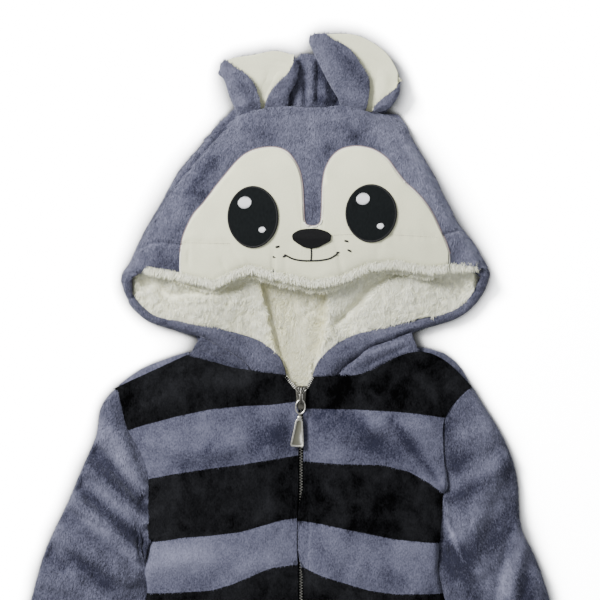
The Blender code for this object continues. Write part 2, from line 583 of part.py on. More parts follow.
def lining_height(grid):
    """Top of the lining: a lobe on each side of the deep throat."""
    x, y = grid[..., 0], grid[..., 1]
    lobes = 7 * np.exp(-((np.abs(x) - 105) / 52) ** 2) * np.exp(-((y - 75) / 25) ** 2)
    base = np.interp(y, [-25, 3, 30, 100, 130, 200], [6.6, 6.6, 8, 10, 10, 8])
    beside = np.clip((150 - np.abs(x)) / 50, 0, 1) * np.clip((np.abs(x - 5) - 40) / 30, 0, 1)
    return base + lobes + 5 * beside * np.interp(y, [40, 92, 104, 124], [0, 1, 1, 0])


def make_lining():
    """The sherpa lining of the hood, from the throat up under the upper layer."""
    left = spline(RIM_IN_LEFT, RIM_STOPS)
    right = spline(RIM_IN_RIGHT, RIM_STOPS)
    throat = spline(THROAT, even(4))[1:-1]
    corner = 2
    lower = np.vstack([left[corner:], throat, right[corner:][::-1]])
    upper = spline([(-150, 190), (-60, 225), (60, 225), (158, 190)], even(len(lower) - 1))
    rows = 6
    sides = [np.vstack([spline([end, rim[0] + shift], even(rows)), rim[1:corner + 1]])
             for end, rim, shift in ((upper[0], left, (2, 0)), (upper[-1], right, (-2, 0)))]
    grid = coons(upper, lower, sides[0], sides[1])
    grid = inset(grid)
    height = lining_height(grid)
    outer = np.dstack([grid, height])
    inner = np.dstack([grid, np.full_like(height, HOOD_BACK_TOP + 0.4)])
    shell("hood_lining", outer, inner, SHERPA)


def make_collar(side):
    """The lower side of the hood between its edge and the neck seam."""
    top, bottom = (spline(line, even(8)) for line in (COLLAR_LEFT if side == "left" else COLLAR_RIGHT))
    ends = [spline([top[k], bottom[k]], even(3)) for k in (0, -1)]
    grid = inset(coons(top, bottom, *ends), 0.4)
    width = nearest(grid, top)[0]
    height = 12 + 2.5 * np.sin(np.clip(width / 22, 0, 1) * math.pi)
    outer = np.dstack([grid, height])
    inner = np.dstack([grid, np.full_like(height, BACK_TOP + 0.4)])
    shell("collar_" + side, outer, inner, PLUSH)


def make_hood_back():
    """The back of the hood, flat on the surface under everything else."""
    left = spline(HOOD_SIDE_LEFT[4:] + RIM_OUT_LEFT[1:10], even(24))
    right = spline(HOOD_SIDE_RIGHT[2:] + RIM_OUT_RIGHT[1:10], even(24))
    crown = spline(CROWN_EDGE[1:-1], even(14))
    round_edge = offset_outline(np.vstack([left[::-1], crown, right]), HOOD_WALL + 3.0)[2:-2]
    outline = np.vstack([round_edge, [(118, -8), (118, -30.4), (-118, -30.4), (-118, -8)]])
    slab("hood_back", outline, 0, HOOD_BACK_TOP, PLUSH)


def walk(line, distance):
    """The point at a distance along a line."""
    reach = steps(line) * np.linalg.norm(np.diff(line, axis=0), axis=1).sum()
    return np.array([np.interp(distance, reach, line[:, axis]) for axis in (0, 1)])


def rolled_side(row, edge, free, fade):
    """One rolled side of an ear's section, from its free edge down to where it lies flat.

    row is the flat part's line in plan and starts at edge; fade opens the roll towards the tip."""
    width = np.linalg.norm(free - edge)
    angle = math.pi / 2 * (1 + min(width / EAR_TURN, 1.0)) * fade
    radius = max(EAR_TURN, 6.0 / angle)
    reach = radius * math.sin(min(angle, math.pi / 2))
    under = walk(row, reach)
    out = (edge - under) / (np.linalg.norm(edge - under) + 1e-9) * reach
    points = [(*(under + out * math.sin(angle * share) / math.sin(min(angle, math.pi / 2))),
               radius * (1 - math.cos(angle * share))) for share in EAR_ARC]
    end = np.array(points[0])
    if width > EAR_TURN + 2:
        tip = np.array([*free, end[2]])
    else:
        tip = end + np.array([*(out / reach * math.cos(angle)), math.sin(angle)]) * 1.4
    return [tip, (tip + end) / 2] + [np.array(point) for point in points]


def ear_grid(side):
    """The outside of an ear: rows from its base to its top, columns from its right edge to its left."""
    shape = EARS[side]
    fold, back, free, lip = (spline(shape[key], even(EAR_ROWS)) for key in ("fold", "back", "free", "lip"))
    base = spline([shape["fold"][0], shape["back"][0]], even(24))
    flat = coons(spline(shape["top"], even(24)), base, fold[::-1], back[::-1])[::-1]
    rows = []
    for k in range(EAR_ROWS + 1):
        share = k / EAR_ROWS
        fade = min((1.04 - share) / 0.25, 1.0)
        left = rolled_side(flat[k], fold[k], free[k], 1.0)
        right = rolled_side(flat[k][::-1], back[k], lip[k], fade)
        span = np.linalg.norm(np.diff(flat[k], axis=0), axis=1).sum()
        start = np.linalg.norm(flat[k][0] - left[-1][:2])
        stop = np.linalg.norm(flat[k][-1] - right[-1][:2])
        inside = [walk(flat[k], at) for at in np.linspace(span - stop, start, 6)[1:-1]]
        row = right + [np.array([*point, 0.0]) for point in inside] + left[::-1]
        rows.append(np.array(row) + (0, 0, np.interp(share, *EAR_LIFT)))
    return np.array(rows)


def make_ear(side):
    """A two-layer ear, rolled over along both sides: plush outside, velour inside."""
    grid = ear_grid(side)
    normal = np.cross(np.gradient(grid, axis=0), np.gradient(grid, axis=1))
    normal /= np.linalg.norm(normal, axis=2)[..., None]
    for layer, near, far, colour in EAR_LAYERS:
        shell(f"ear_{side}_{layer}", grid + normal * near, grid + normal * far, colour)
        grid, normal = grid[:, 1:-1], normal[:, 1:-1]


def make_box(name, centre, size, colour, roughness, metallic=0.0, turn=0.0, bevel=0.0):
    """A block with softened edges, placed by its centre and turned about Z."""
    bm = bmesh.new()
    bmesh.ops.create_cube(bm, size=1)
    bmesh.ops.scale(bm, vec=[side * MM for side in size], verts=bm.verts)
    if bevel:
        bmesh.ops.bevel(bm, geom=bm.edges[:], offset=bevel * MM, segments=2, profile=0.5, affect="EDGES")
    obj = add_object(name, bm, colour, roughness, metallic)
    obj.location = [value * MM for value in centre]
    obj.rotation_euler.z = turn
    return obj


def make_zip():
    """Tapes under the front edges, the closed teeth, and the open teeth beside the neck."""
    tape_top, tape_bottom = -44.0, CROTCH_Y + 30
    for side, sign in (("left", -1), ("right", 1)):
        make_box("zip_tape_" + side, (sign * 9.2, (tape_top + tape_bottom) / 2, 6.05),
                 (17.6, tape_top - tape_bottom, 1.2), TAPE, 0.8)
    chain_top = SLIDER_Y - 13.4
    make_box("zip_chain", (0, (chain_top + tape_bottom) / 2, (6.95 + TEETH_TOP) / 2),
             (4.8, chain_top - tape_bottom, TEETH_TOP - 6.95), METAL, 0.35, 1.0, bevel=0.8)
    for side, neck, sign in (("left", NECK_LEFT[-1], -1), ("right", NECK_RIGHT[0], 1)):
        start = np.array([sign * 3.2, -12.0])
        run = np.array(neck, float) + (sign * -3.0, 0) - start
        middle = start + run * 0.5
        make_box("zip_open_" + side, (middle[0], middle[1], 9.2), (np.linalg.norm(run), 3.2, 2.6),
                 METAL, 0.35, 1.0, turn=math.atan2(run[1], run[0]), bevel=0.6)


def make_slider():
    """The slider: a tapered body with a wire bridge over it."""
    bm = bmesh.new()
    bmesh.ops.create_cube(bm, size=1)
    bmesh.ops.scale(bm, vec=(13 * MM, 26 * MM, 4.0 * MM), verts=bm.verts)
    for vert in bm.verts:
        if vert.co.y < 0:
            vert.co.x *= 0.62
    bmesh.ops.bevel(bm, geom=bm.edges[:], offset=1.2 * MM, segments=2, profile=0.5, affect="EDGES")
    body = add_object("zip_slider", bm, METAL, 0.3, 1.0)
    body.location = (0, SLIDER_Y * MM, (SLIDER_TOP - 2.0) * MM)
    bridge = bpy.data.curves.new("bridge", "CURVE")
    bridge.dimensions = "3D"
    bridge.bevel_depth = BRIDGE_WIRE * MM
    bridge.bevel_resolution = 2
    bridge.use_fill_caps = True
    path = bridge.splines.new("POLY")
    route = [(SLIDER_Y + 11.5 - 18 * (1 - math.cos(a)) / 2, SLIDER_TOP - 1.2 + 6.2 * math.sin(a) ** 0.6)
             for a in np.linspace(0, math.pi, 11)]
    path.points.add(len(route) - 1)
    for point, (y, z) in zip(path.points, route):
        point.co = (0, y * MM, z * MM, 1)
    wire = place_curve("bridge", bridge, 0, METAL, 0.3, 1.0)
    union = body.modifiers.new("bridge", "BOOLEAN")
    union.operation = "UNION"
    union.object = wire
    bpy.data.collections["onesie_pajama"].objects.unlink(wire)
    bpy.data.collections["cutters"].objects.link(wire)
    wire.hide_render = True
    wire.display_type = "WIRE"


def make_pull():
    """The pull tab: an eye round the bridge and a tapered plate, turning about the eye's top bar."""
    outline, eye = ([(-x, y) for x, y in half[::-1]] + half for half in (PULL_OUTLINE, PULL_EYE))
    curve = bpy.data.curves.new("pull_tab", "CURVE")
    curve.dimensions = "2D"
    curve.fill_mode = "BOTH"
    curve.extrude = 0.8 * MM
    for ring in (outline, eye):
        path = curve.splines.new("POLY")
        path.points.add(len(ring) - 1)
        for point, (x, y) in zip(path.points, ring):
            point.co = (x * MM, y * MM, 0, 1)
        path.use_cyclic_u = True
    tab = place_curve("pull_tab", curve, 0, METAL, 0.35, 1.0)
    tab.location = [value * MM for value in PIVOT]
    tab.rotation_euler.z = PULL_LEAN


def main():
    for obj in list(bpy.data.objects):
        bpy.data.objects.remove(obj)
    for name in ("onesie_pajama", "cutters"):
        bpy.context.scene.collection.children.link(bpy.data.collections.new(name))
    garment = bpy.data.objects.new("garment", None)
    garment.location = (NECK_POINT[0] * MM, NECK_POINT[1] * MM, 0)
    bpy.data.collections["onesie_pajama"].objects.link(garment)
    make_back()
    for side in ("left", "right"):
        make_front(side)
        make_sleeve(side)
        make_rim(side)
        make_collar(side)
        make_ear(side)
    make_hood_back()
    make_hood_face()
    make_facing()
    make_mask()
    make_face_patch("eye_left", *EYE_LEFT, BLACK, 0.7)
    make_face_patch("eye_right", *EYE_RIGHT, BLACK, 0.7)
    make_face_patch("nose", *NOSE, BLACK, 0.5, taper=0.25)
    make_crown()
    make_lining()
    make_zip()
    make_slider()
    make_pull()


main()
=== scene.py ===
"""A small child's hooded one-piece pyjama of striped plush, laid flat on its back.

The hood's face is up and its sherpa lining shows in the opening. Sizes are millimetres on the
garment's own pattern: X across, Y up from the front neck point, Z up from the surface.
"""
import math

import bmesh
import bpy
import numpy as np
from mathutils import Matrix, Vector, noise
from mathutils.bvhtree import BVHTree


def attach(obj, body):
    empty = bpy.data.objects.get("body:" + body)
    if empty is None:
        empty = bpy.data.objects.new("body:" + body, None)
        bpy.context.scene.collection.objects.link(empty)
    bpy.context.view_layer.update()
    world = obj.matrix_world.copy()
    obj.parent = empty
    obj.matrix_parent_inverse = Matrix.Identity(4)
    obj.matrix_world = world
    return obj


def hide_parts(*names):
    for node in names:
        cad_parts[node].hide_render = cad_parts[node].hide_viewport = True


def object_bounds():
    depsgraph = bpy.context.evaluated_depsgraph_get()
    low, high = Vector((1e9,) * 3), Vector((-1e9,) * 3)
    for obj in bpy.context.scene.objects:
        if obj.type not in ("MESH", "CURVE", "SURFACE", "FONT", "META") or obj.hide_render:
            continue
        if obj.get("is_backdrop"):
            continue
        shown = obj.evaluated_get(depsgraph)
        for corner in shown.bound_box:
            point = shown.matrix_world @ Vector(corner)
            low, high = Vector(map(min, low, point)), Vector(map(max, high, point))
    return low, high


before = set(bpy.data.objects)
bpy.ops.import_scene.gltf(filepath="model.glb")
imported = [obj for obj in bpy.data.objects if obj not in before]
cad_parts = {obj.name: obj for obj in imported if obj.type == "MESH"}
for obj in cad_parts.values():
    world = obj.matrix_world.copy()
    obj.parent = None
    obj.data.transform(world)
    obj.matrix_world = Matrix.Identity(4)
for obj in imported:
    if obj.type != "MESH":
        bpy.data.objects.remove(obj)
cad_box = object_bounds()

# ---- Camera ---------------------------------------------------------------------------------
# The camera hangs high above the laid-out garment and looks straight down on it. Its lens
# takes in a square of 660 mm round the hood and the chest; the legs run on below it.
MM = 0.001
VIEW_CENTRE = (6.9, 345.7)
VIEW_WIDTH = 660.0
VIEW_HEIGHT = 3000.0
CLOTH_LEVEL = 15.0
FILM = 36.0
SIGHT = 30.0                    # metres, past the far end of the table

camera = bpy.data.objects.new("camera", bpy.data.cameras.new("camera"))
bpy.context.scene.collection.objects.link(camera)
camera.location = (VIEW_CENTRE[0] * MM, VIEW_CENTRE[1] * MM, VIEW_HEIGHT * MM)
camera.data.sensor_width = FILM
camera.data.lens = FILM * (VIEW_HEIGHT - CLOTH_LEVEL) / VIEW_WIDTH
camera.data.clip_end = SIGHT
bpy.context.scene.camera = camera


# ---- Floor and light ------------------------------------------------------------------------
# A white table top, lit by one large soft lamp from the upper left and by a pale room. The garment's
# soft shadow on its right is partly cast by the broad lamp and partly a painted shadow on the table.
FLOOR_DROP = 0.4
FLOOR_SIZE = 9000.0
FLOOR_WHITE = 0.9
FLOOR_GLOW = 9.0                # the table is seen this much brighter than it lights the cloth
SHADOW_REACH = 62.0             # how far the garment's soft shadow runs on the table
SHADOW_START = 0.92             # the share of open sky below which the shadow shows
SHADOW_FALL = 7.8               # how fast it deepens from there
SHADOW_SIDE = (-0.80, 0.62, 0.38)       # the side whose open sky counts, towards the lamp
SHADOW_SAMPLES = 16
ROOM = 0.62
ROOM_COLOUR = (0.96, 0.98, 1.0, 1)
LAMP_PLACE = (-1500.0, 1500.0, 1550.0)
LAMP_AIM = (0.0, 330.0, 0.0)
LAMP_SIZE = 800.0
LAMP_POWER = 145.0


def add_node(tree, kind, inputs=None, **settings):
    """A node with its settings; an input takes a plain value or another node's output."""
    node = tree.nodes.new(kind)
    for key, value in settings.items():
        setattr(node, key, value)
    for key, value in (inputs or {}).items():
        if isinstance(value, bpy.types.NodeSocket):
            tree.links.new(value, node.inputs[key])
        else:
            node.inputs[key].default_value = value
    return node


def sums(tree, operation, first, second=0.0, third=0.0, clamp=False):
    """The output of a math node."""
    node = add_node(tree, "ShaderNodeMath", {0: first, 1: second, 2: third}, operation=operation,
                    use_clamp=clamp)
    return node.outputs[0]


def make_table_top():
    """A matt white, seen brighter than the light it throws back, with a painted shadow where the garment
    hides the lamp's side.
    """
    material = bpy.data.materials.new("table_top")
    material.use_nodes = True
    tree = material.node_tree
    tree.nodes.clear()
    plain = add_node(tree, "ShaderNodeBsdfDiffuse", {"Color": (FLOOR_WHITE, FLOOR_WHITE, FLOOR_WHITE, 1)})
    sky = add_node(tree, "ShaderNodeAmbientOcclusion", {"Normal": SHADOW_SIDE, "Distance": SHADOW_REACH * MM},
                   samples=SHADOW_SAMPLES)
    # Painted shadow: the table is seen darker where the garment hides the open sky towards the lamp.
    hidden = sums(tree, "SUBTRACT", sums(tree, "MINIMUM", sky.outputs["AO"], SHADOW_START), SHADOW_START)
    left_over = sums(tree, "EXPONENT", sums(tree, "MULTIPLY", hidden, SHADOW_FALL))
    light = sums(tree, "MULTIPLY", left_over, FLOOR_GLOW)
    tone = add_node(tree, "ShaderNodeCombineColor", {k: light for k in ("Red", "Green", "Blue")})
    bright = add_node(tree, "ShaderNodeBsdfDiffuse", {"Color": tone.outputs[0]})
    ray = add_node(tree, "ShaderNodeLightPath")
    both = add_node(tree, "ShaderNodeMixShader", {0: ray.outputs["Is Camera Ray"], 1: plain.outputs[0],
                                                  2: bright.outputs[0]})
    add_node(tree, "ShaderNodeOutputMaterial", {"Surface": both.outputs[0]})
    return material


floor_bm = bmesh.new()
bmesh.ops.create_grid(floor_bm, x_segments=1, y_segments=1, size=FLOOR_SIZE / 2 * MM)
floor_mesh = bpy.data.meshes.new("floor")
floor_bm.to_mesh(floor_mesh)
floor_bm.free()
floor = bpy.data.objects.new("floor", floor_mesh)
bpy.context.scene.collection.objects.link(floor)
floor.location.z = -FLOOR_DROP * MM
floor_mesh.materials.append(make_table_top())
floor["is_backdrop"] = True

lamp_data = bpy.data.lights.new("lamp", "AREA")
lamp_data.size = LAMP_SIZE * MM
lamp_data.energy = LAMP_POWER
lamp = bpy.data.objects.new("lamp", lamp_data)
bpy.context.scene.collection.objects.link(lamp)
lamp.location = [value * MM for value in LAMP_PLACE]
lamp_way = Vector(LAMP_PLACE) - Vector(LAMP_AIM)
lamp.rotation_euler = lamp_way.normalized().to_track_quat("Z", "Y").to_euler()

world = bpy.data.worlds.new("room")
world.use_nodes = True
sky = world.node_tree.nodes["Background"]
sky.inputs["Color"].default_value = ROOM_COLOUR
sky.inputs["Strength"].default_value = ROOM
bpy.context.scene.world = world


# ---- Backs ----------------------------------------------------------------------------------
# The back with the backs of both legs, and the back of the hood: one layer of grey-blue plush
# each, cut in one and sewn to the rest along the edges. They lie flat under everything else.
NECK_POINT = Vector((8.0, 263.2, 0.0))
PLUSH_LIGHT = (0.215, 0.219, 0.305)
PLUSH_DARK = (0.0175, 0.0185, 0.034)
PLUSH_SHEEN = (0.80, 0.83, 1.0, 1)
PLUSH_GLEAM = 0.30              # how strong that sheen is
NAP_SHARE = 0.53                # the lightest tone is kept for the few lightest places
FIBRE = 1.0                     # width of a strand of pile, about as fine as it shows
PLUSH_PARTS = {"Patches": 0.5, "Strands": 0.8}
PLUSH_BUMP = (0.9, 0.7)         # depth and strength
OUTWARD = {"left": -1, "right": 1}      # the way outwards in X on each side


def mixed(tree, factor, first, second):
    """The output of a colour mix."""
    node = add_node(tree, "ShaderNodeMix", {0: factor, 6: first, 7: second}, data_type="RGBA")
    return node.outputs[2]


def speckle(tree, scale, detail=2.0, stretch=(1, 1, 1), distortion=0.0):
    """Noise on the piece's own coordinates, with this many spots to the millimetre."""
    place = add_node(tree, "ShaderNodeTexCoord").outputs["Object"]
    turned = add_node(tree, "ShaderNodeMapping", {"Vector": place, "Scale": stretch})
    texture = add_node(tree, "ShaderNodeTexNoise", {"Vector": turned.outputs[0], "Scale": scale / MM,
                                                    "Detail": detail, "Distortion": distortion})
    return texture.outputs["Fac"]


def new_group(name, inputs, outputs):
    """An empty shader group with its sockets, given as (name, kind)."""
    tree = bpy.data.node_groups.new(name, "ShaderNodeTree")
    for side, sockets in (("INPUT", inputs), ("OUTPUT", outputs)):
        for socket, kind in sockets:
            tree.interface.new_socket(socket, in_out=side, socket_type="NodeSocket" + kind)
    return tree, tree.nodes.new("NodeGroupInput"), tree.nodes.new("NodeGroupOutput")


def make_pile_group():
    """Short dense pile: brushed lighter and darker patches, a soft dapple and its strands' grain, over a nap
    that also carries painted shade and highlight.
    """
    tree, taken, given = new_group(
        "brushed_pile",
        [("Light", "Color"), ("Dark", "Color"), ("Nap", "Float"), ("Patches", "Float"),
         ("Strands", "Float")],
        [("Colour", "Color"), ("Height", "Float")])
    patches = speckle(tree, 0.028, 3.0, (1, 0.8, 1), 0.6)
    dapple = speckle(tree, 0.13, 3.0, (1, 0.7, 1), 0.4)
    strands = speckle(tree, 0.70 / FIBRE, 3.0, (1, 0.6, 1), 0.5)
    both = sums(tree, "MULTIPLY_ADD", dapple, 0.45, patches)
    wide = sums(tree, "MULTIPLY", sums(tree, "SUBTRACT", both, 0.725), taken.outputs["Patches"])
    fine = sums(tree, "MULTIPLY", sums(tree, "SUBTRACT", strands, 0.5), taken.outputs["Strands"])
    lie = sums(tree, "ADD", sums(tree, "ADD", taken.outputs["Nap"], wide), fine, clamp=True)
    colour = mixed(tree, lie, taken.outputs["Dark"], taken.outputs["Light"])
    height = sums(tree, "MULTIPLY_ADD", dapple, 1.2, strands)
    tree.links.new(colour, given.inputs["Colour"])
    tree.links.new(height, given.inputs["Height"])
    return tree


pile_group = make_pile_group()


def new_material(name, roughness, sheen=0.0, sheen_colour=(1, 1, 1, 1), metallic=0.0, level=0.15):
    """A material with its shader's plain values set."""
    material = bpy.data.materials.new(name)
    material.use_nodes = True
    shader = material.node_tree.nodes["Principled BSDF"]
    shader.inputs["Roughness"].default_value = roughness
    shader.inputs["Metallic"].default_value = metallic
    shader.inputs["Specular IOR Level"].default_value = level
    shader.inputs["Sheen Weight"].default_value = sheen
    shader.inputs["Sheen Roughness"].default_value = 0.45
    shader.inputs["Sheen Tint"].default_value = sheen_colour
    return material, material.node_tree, shader


def raise_by(tree, shader, height, depth, strength=1.0):
    """Bump the surface by a height field, this many millimetres deep."""
    bump = add_node(tree, "ShaderNodeBump", {"Height": height, "Distance": depth * MM, "Strength": strength})
    tree.links.new(bump.outputs[0], shader.inputs["Normal"])


def use_group(tree, group, **inputs):
    """A group placed in a material, with its own values."""
    return add_node(tree, "ShaderNodeGroup", inputs, node_tree=group)


def attribute(tree, name):
    """A value that the piece's mesh carries at each point."""
    return add_node(tree, "ShaderNodeAttribute", attribute_name=name).outputs["Fac"]


def grey_pile(tree):
    """The grey-blue pile in a material, its nap with its painted shade and highlight read from the piece."""
    return use_group(tree, pile_group, Light=(*PLUSH_LIGHT, 1), Dark=(*PLUSH_DARK, 1),
                     Nap=attribute(tree, "nap"), **PLUSH_PARTS)


def make_plush():
    """Grey-blue plush."""
    material, tree, shader = new_material("plush", 0.95, PLUSH_GLEAM, PLUSH_SHEEN)
    pile = grey_pile(tree)
    tree.links.new(pile.outputs["Colour"], shader.inputs["Base Color"])
    raise_by(tree, shader, pile.outputs["Height"], *PLUSH_BUMP)
    return material


plush = make_plush()
slots = {}                      # the slot of each piece, for the strands that grow on it later


def finished(name, mesh, material, slot, body="root"):
    """The piece's object: at the origin, smooth, in its material and riding on a body."""
    mesh.shade_smooth()
    if mesh.materials:
        mesh.materials.clear()
    mesh.materials.append(material)
    piece = bpy.data.objects.new(name, mesh)
    bpy.context.scene.collection.objects.link(piece)
    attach(piece, body)
    slots[piece.name] = slot
    return piece


def subdivided(coarse, levels):
    """A mesh made finer by smooth subdivision."""
    guide = bpy.data.objects.new("guide", coarse)
    bpy.context.scene.collection.objects.link(guide)
    smooth = guide.modifiers.new("smooth", "SUBSURF")
    smooth.levels = smooth.render_levels = levels
    bpy.context.view_layer.update()
    mesh = bpy.data.meshes.new_from_object(guide.evaluated_get(bpy.context.evaluated_depsgraph_get()))
    bpy.data.objects.remove(guide)
    return mesh


def flat_points(mesh):
    """The mesh's points as one array of rows."""
    flat = np.empty(len(mesh.vertices) * 3)
    mesh.vertices.foreach_get("co", flat)
    return flat.reshape(-1, 3)


MERGE_REACH = 0.01              # corners of a panel that are nearer than this are one corner
FLAT_ANGLE = math.radians(60)   # two triangles that meet flatter than this become one face
SEAM_ANGLE = math.radians(38)   # an edge that is sharper than this is a seam
CORNER_PULL = 0.9               # the share of what smoothing took off a corner that is given back


def cloth(node, name, material, slot, levels=3, hold=0.8):
    """A finer, rounder copy of a panel through its own corners, with its seam edges held."""
    bm = bmesh.new()
    bm.from_mesh(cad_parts[node].data)
    bmesh.ops.remove_doubles(bm, verts=bm.verts[:], dist=MERGE_REACH * MM)
    bmesh.ops.join_triangles(bm, faces=bm.faces[:], angle_face_threshold=FLAT_ANGLE,
                             angle_shape_threshold=math.pi)
    crease = bm.edges.layers.float.new("crease_edge")
    for edge in bm.edges:
        if edge.calc_face_angle(0) > SEAM_ANGLE:
            edge[crease] = hold
    coarse = bpy.data.meshes.new(name + "_coarse")
    bm.to_mesh(coarse)
    bm.free()
    wanted = flat_points(coarse)
    for _ in range(2):
        reached = subdivided(coarse, 1)
        off = wanted - flat_points(reached)[:len(wanted)]
        coarse.vertices.foreach_set("co", (flat_points(coarse) + off * CORNER_PULL).ravel())
        coarse.update()
        bpy.data.meshes.remove(reached)
    mesh = subdivided(coarse, levels)
    mesh.name = name
    bpy.data.meshes.remove(coarse)
    piece = finished(name, mesh, material, slot)
    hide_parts(node)
    return piece


def points_of(piece):
    """Every point of the piece, in pattern millimetres."""
    return flat_points(piece.data) / MM - np.array(NECK_POINT)


def put_points(piece, points):
    """Moves the piece's points to new places on the pattern, none of them below the table."""
    points[:, 2] = np.maximum(points[:, 2], 0)
    piece.data.vertices.foreach_set("co", ((points + np.array(NECK_POINT)) * MM).ravel())
    piece.data.update()


def normals_of(piece):
    """The outward direction at every point."""
    flat = np.empty(len(piece.data.vertices) * 3)
    piece.data.vertex_normals.foreach_get("vector", flat)
    return flat.reshape(-1, 3)


def swell(piece, amount):
    """Moves every point outwards by its own amount."""
    put_points(piece, points_of(piece) + normals_of(piece) * np.asarray(amount)[:, None])


def carry(piece, name, values):
    """Stores one value at each point for the material to read."""
    layer = piece.data.attributes.new(name, "FLOAT", "POINT")
    layer.data.foreach_set("value", np.asarray(values, np.float32))


def lumps(points, size, seed=0):
    """Smooth random heights from about -1 to 1, with lumps of this many millimetres."""
    shift = Vector((31.7, 17.3, 7.9)) * (seed + 1)
    return np.array([noise.noise(Vector(point) / size + shift) for point in points.tolist()])


def side_of(points, line):
    """Distance in plan to a line of points: positive on its left as it runs, negative on its right."""
    flat, line = points[:, None, :2], np.asarray(line, float)
    start, run = line[None, :-1], np.diff(line, axis=0)[None]
    share = np.clip(((flat - start) * run).sum(2) / ((run ** 2).sum(2) + 1e-9), 0, 1)
    away = flat - start - share[..., None] * run
    far = np.linalg.norm(away, axis=2)
    best = far.argmin(1)
    rows = np.arange(len(points))
    turn = run[0, best, 0] * away[rows, best, 1] - run[0, best, 1] * away[rows, best, 0]
    return far[rows, best] * np.where(turn < 0, -1, 1)


def folds(points, table):
    """Heights of soft folds: each row is a line, its width on its left and right, and its height."""
    total = np.zeros(len(points))
    for line, left_width, right_width, height in table:
        far = side_of(points, line)
        width = np.where(far > 0, left_width, right_width)
        total += height * np.exp(-(far / width) ** 2)
    return total


def upward(piece, low=0.15, high=0.6):
    """1 where the cloth faces up, fading to 0 on its sides and underneath."""
    return np.clip((normals_of(piece)[:, 2] - low) / (high - low), 0, 1)


def nap_and_shade_of(points, strokes=(), seed=0, base=0.55, relief=None):
    """How light the pile is, 1 light, 0 dark: brushed patches with painted shade and highlight; each stroke
    is a line, its width and its change.
    """
    nap = base + 0.12 * lumps(points, 40, seed) + 0.08 * lumps(points, 14, seed + 1)
    # Painted shade and highlight: the pile is painted lighter on raised folds and darker in their hollows.
    if relief is not None:
        nap += relief * 0.05
    for line, width, change in strokes:
        ragged = width * (1 + 0.35 * lumps(points, 9, seed + 2))
        nap += change * np.exp(-(side_of(points, line) / ragged) ** 2)
    return np.clip(NAP_SHARE * nap, 0, 1)


# The two sides of the hood, from its turned edge up, and of the neck, each as Y and X.
HOOD_SIDE = {"left": [(78, -188), (89, -194.4), (104.5, -198.8), (117, -196.6), (128, -188), (140, -181.6),
                      (157, -173.6),
                      (190, -154.6), (225, -135.6), (261, -105), (270, -97)],
             "right": [(78, 194), (89, 200.9), (101, 206.4), (112, 208.7), (126.5, 204.6), (136, 196.8),
                       (148.5, 188.7),
                       (165, 174.6), (187, 163.6), (214.5, 150), (247.5, 130.6), (272, 116.5)]}
NECK_SIDE = {"left": [(19, -124), (25.3, -120.5), (33, -117), (41, -112), (48, -108)],
             "right": [(19, 131), (30.8, 127.7), (41, 123.5), (48, 121.5), (55, 121)]}
BACK_INSET = 2.5                # the hood's back stays this far inside its sides


DRAW_STEP = 2.0                 # a piece's own side is read at every such height
DRAW_FADE = 6.0                 # the change comes in and goes out over this height
DRAW_LIMIT = 20.0               # no side is moved further than this


def drawn_to(piece, side, outline, reach):
    """Moves one side of a piece onto an outline, given as Y and X, fading out over a reach."""
    spots = points_of(piece)
    way = OUTWARD[side]
    levels, places = np.array(outline, float).T
    steps = np.arange(levels[0] - DRAW_STEP, levels[-1] + 2 * DRAW_STEP, DRAW_STEP)
    own = [(way * spots[np.abs(spots[:, 1] - step) < DRAW_STEP, 0]).max(initial=-1e3)
           for step in steps.tolist()]
    own = np.interp(spots[:, 1], steps, own)
    shift = way * np.interp(spots[:, 1], levels, places) - own
    fade = np.clip((spots[:, 1] - levels[0]) / DRAW_FADE, 0, 1)
    fade = fade * np.clip((levels[-1] - spots[:, 1]) / DRAW_FADE, 0, 1)
    fade = fade * (np.abs(shift) < DRAW_LIMIT)
    spots[:, 0] += way * shift * fade * np.clip(1 - (own - way * spots[:, 0]) / reach, 0, 1)
    put_points(piece, spots)


back = cloth("back", "back_panel", plush, "plush", 1, hold=0.9)
carry(back, "nap", nap_and_shade_of(points_of(back), seed=1, base=0.5))

hood_back = cloth("hood_back", "hood_back_panel", plush, "plush", 2, hold=0.9)
carry(hood_back, "nap", nap_and_shade_of(points_of(hood_back), seed=2, base=0.35))
for side, way in OUTWARD.items():
    for outline, reach in ((HOOD_SIDE, 40), (NECK_SIDE, 30)):
        drawn_to(hood_back, side, [(y, x - way * BACK_INSET) for y, x in outline[side]], reach)


# ---- Fronts ---------------------------------------------------------------------------------
# Two fronts, each from the neck to the ankle, of grey-blue plush with bands of black velvet
# let in across the chest. The bands are sewn edge to edge, so each joint is a fine groove.
BLACK_LIGHT = (0.0185, 0.0190, 0.0215)
BLACK_DARK = (0.0005, 0.0005, 0.0006)
BLACK_PARTS = {"Patches": 1.3, "Strands": 0.8}
BLACK_GLEAM = 0.008
BAND_BLUR = 0.9                 # how far the bands' edges run in and out
BAND_CHANGE = 2.5               # how fast the colour changes across them
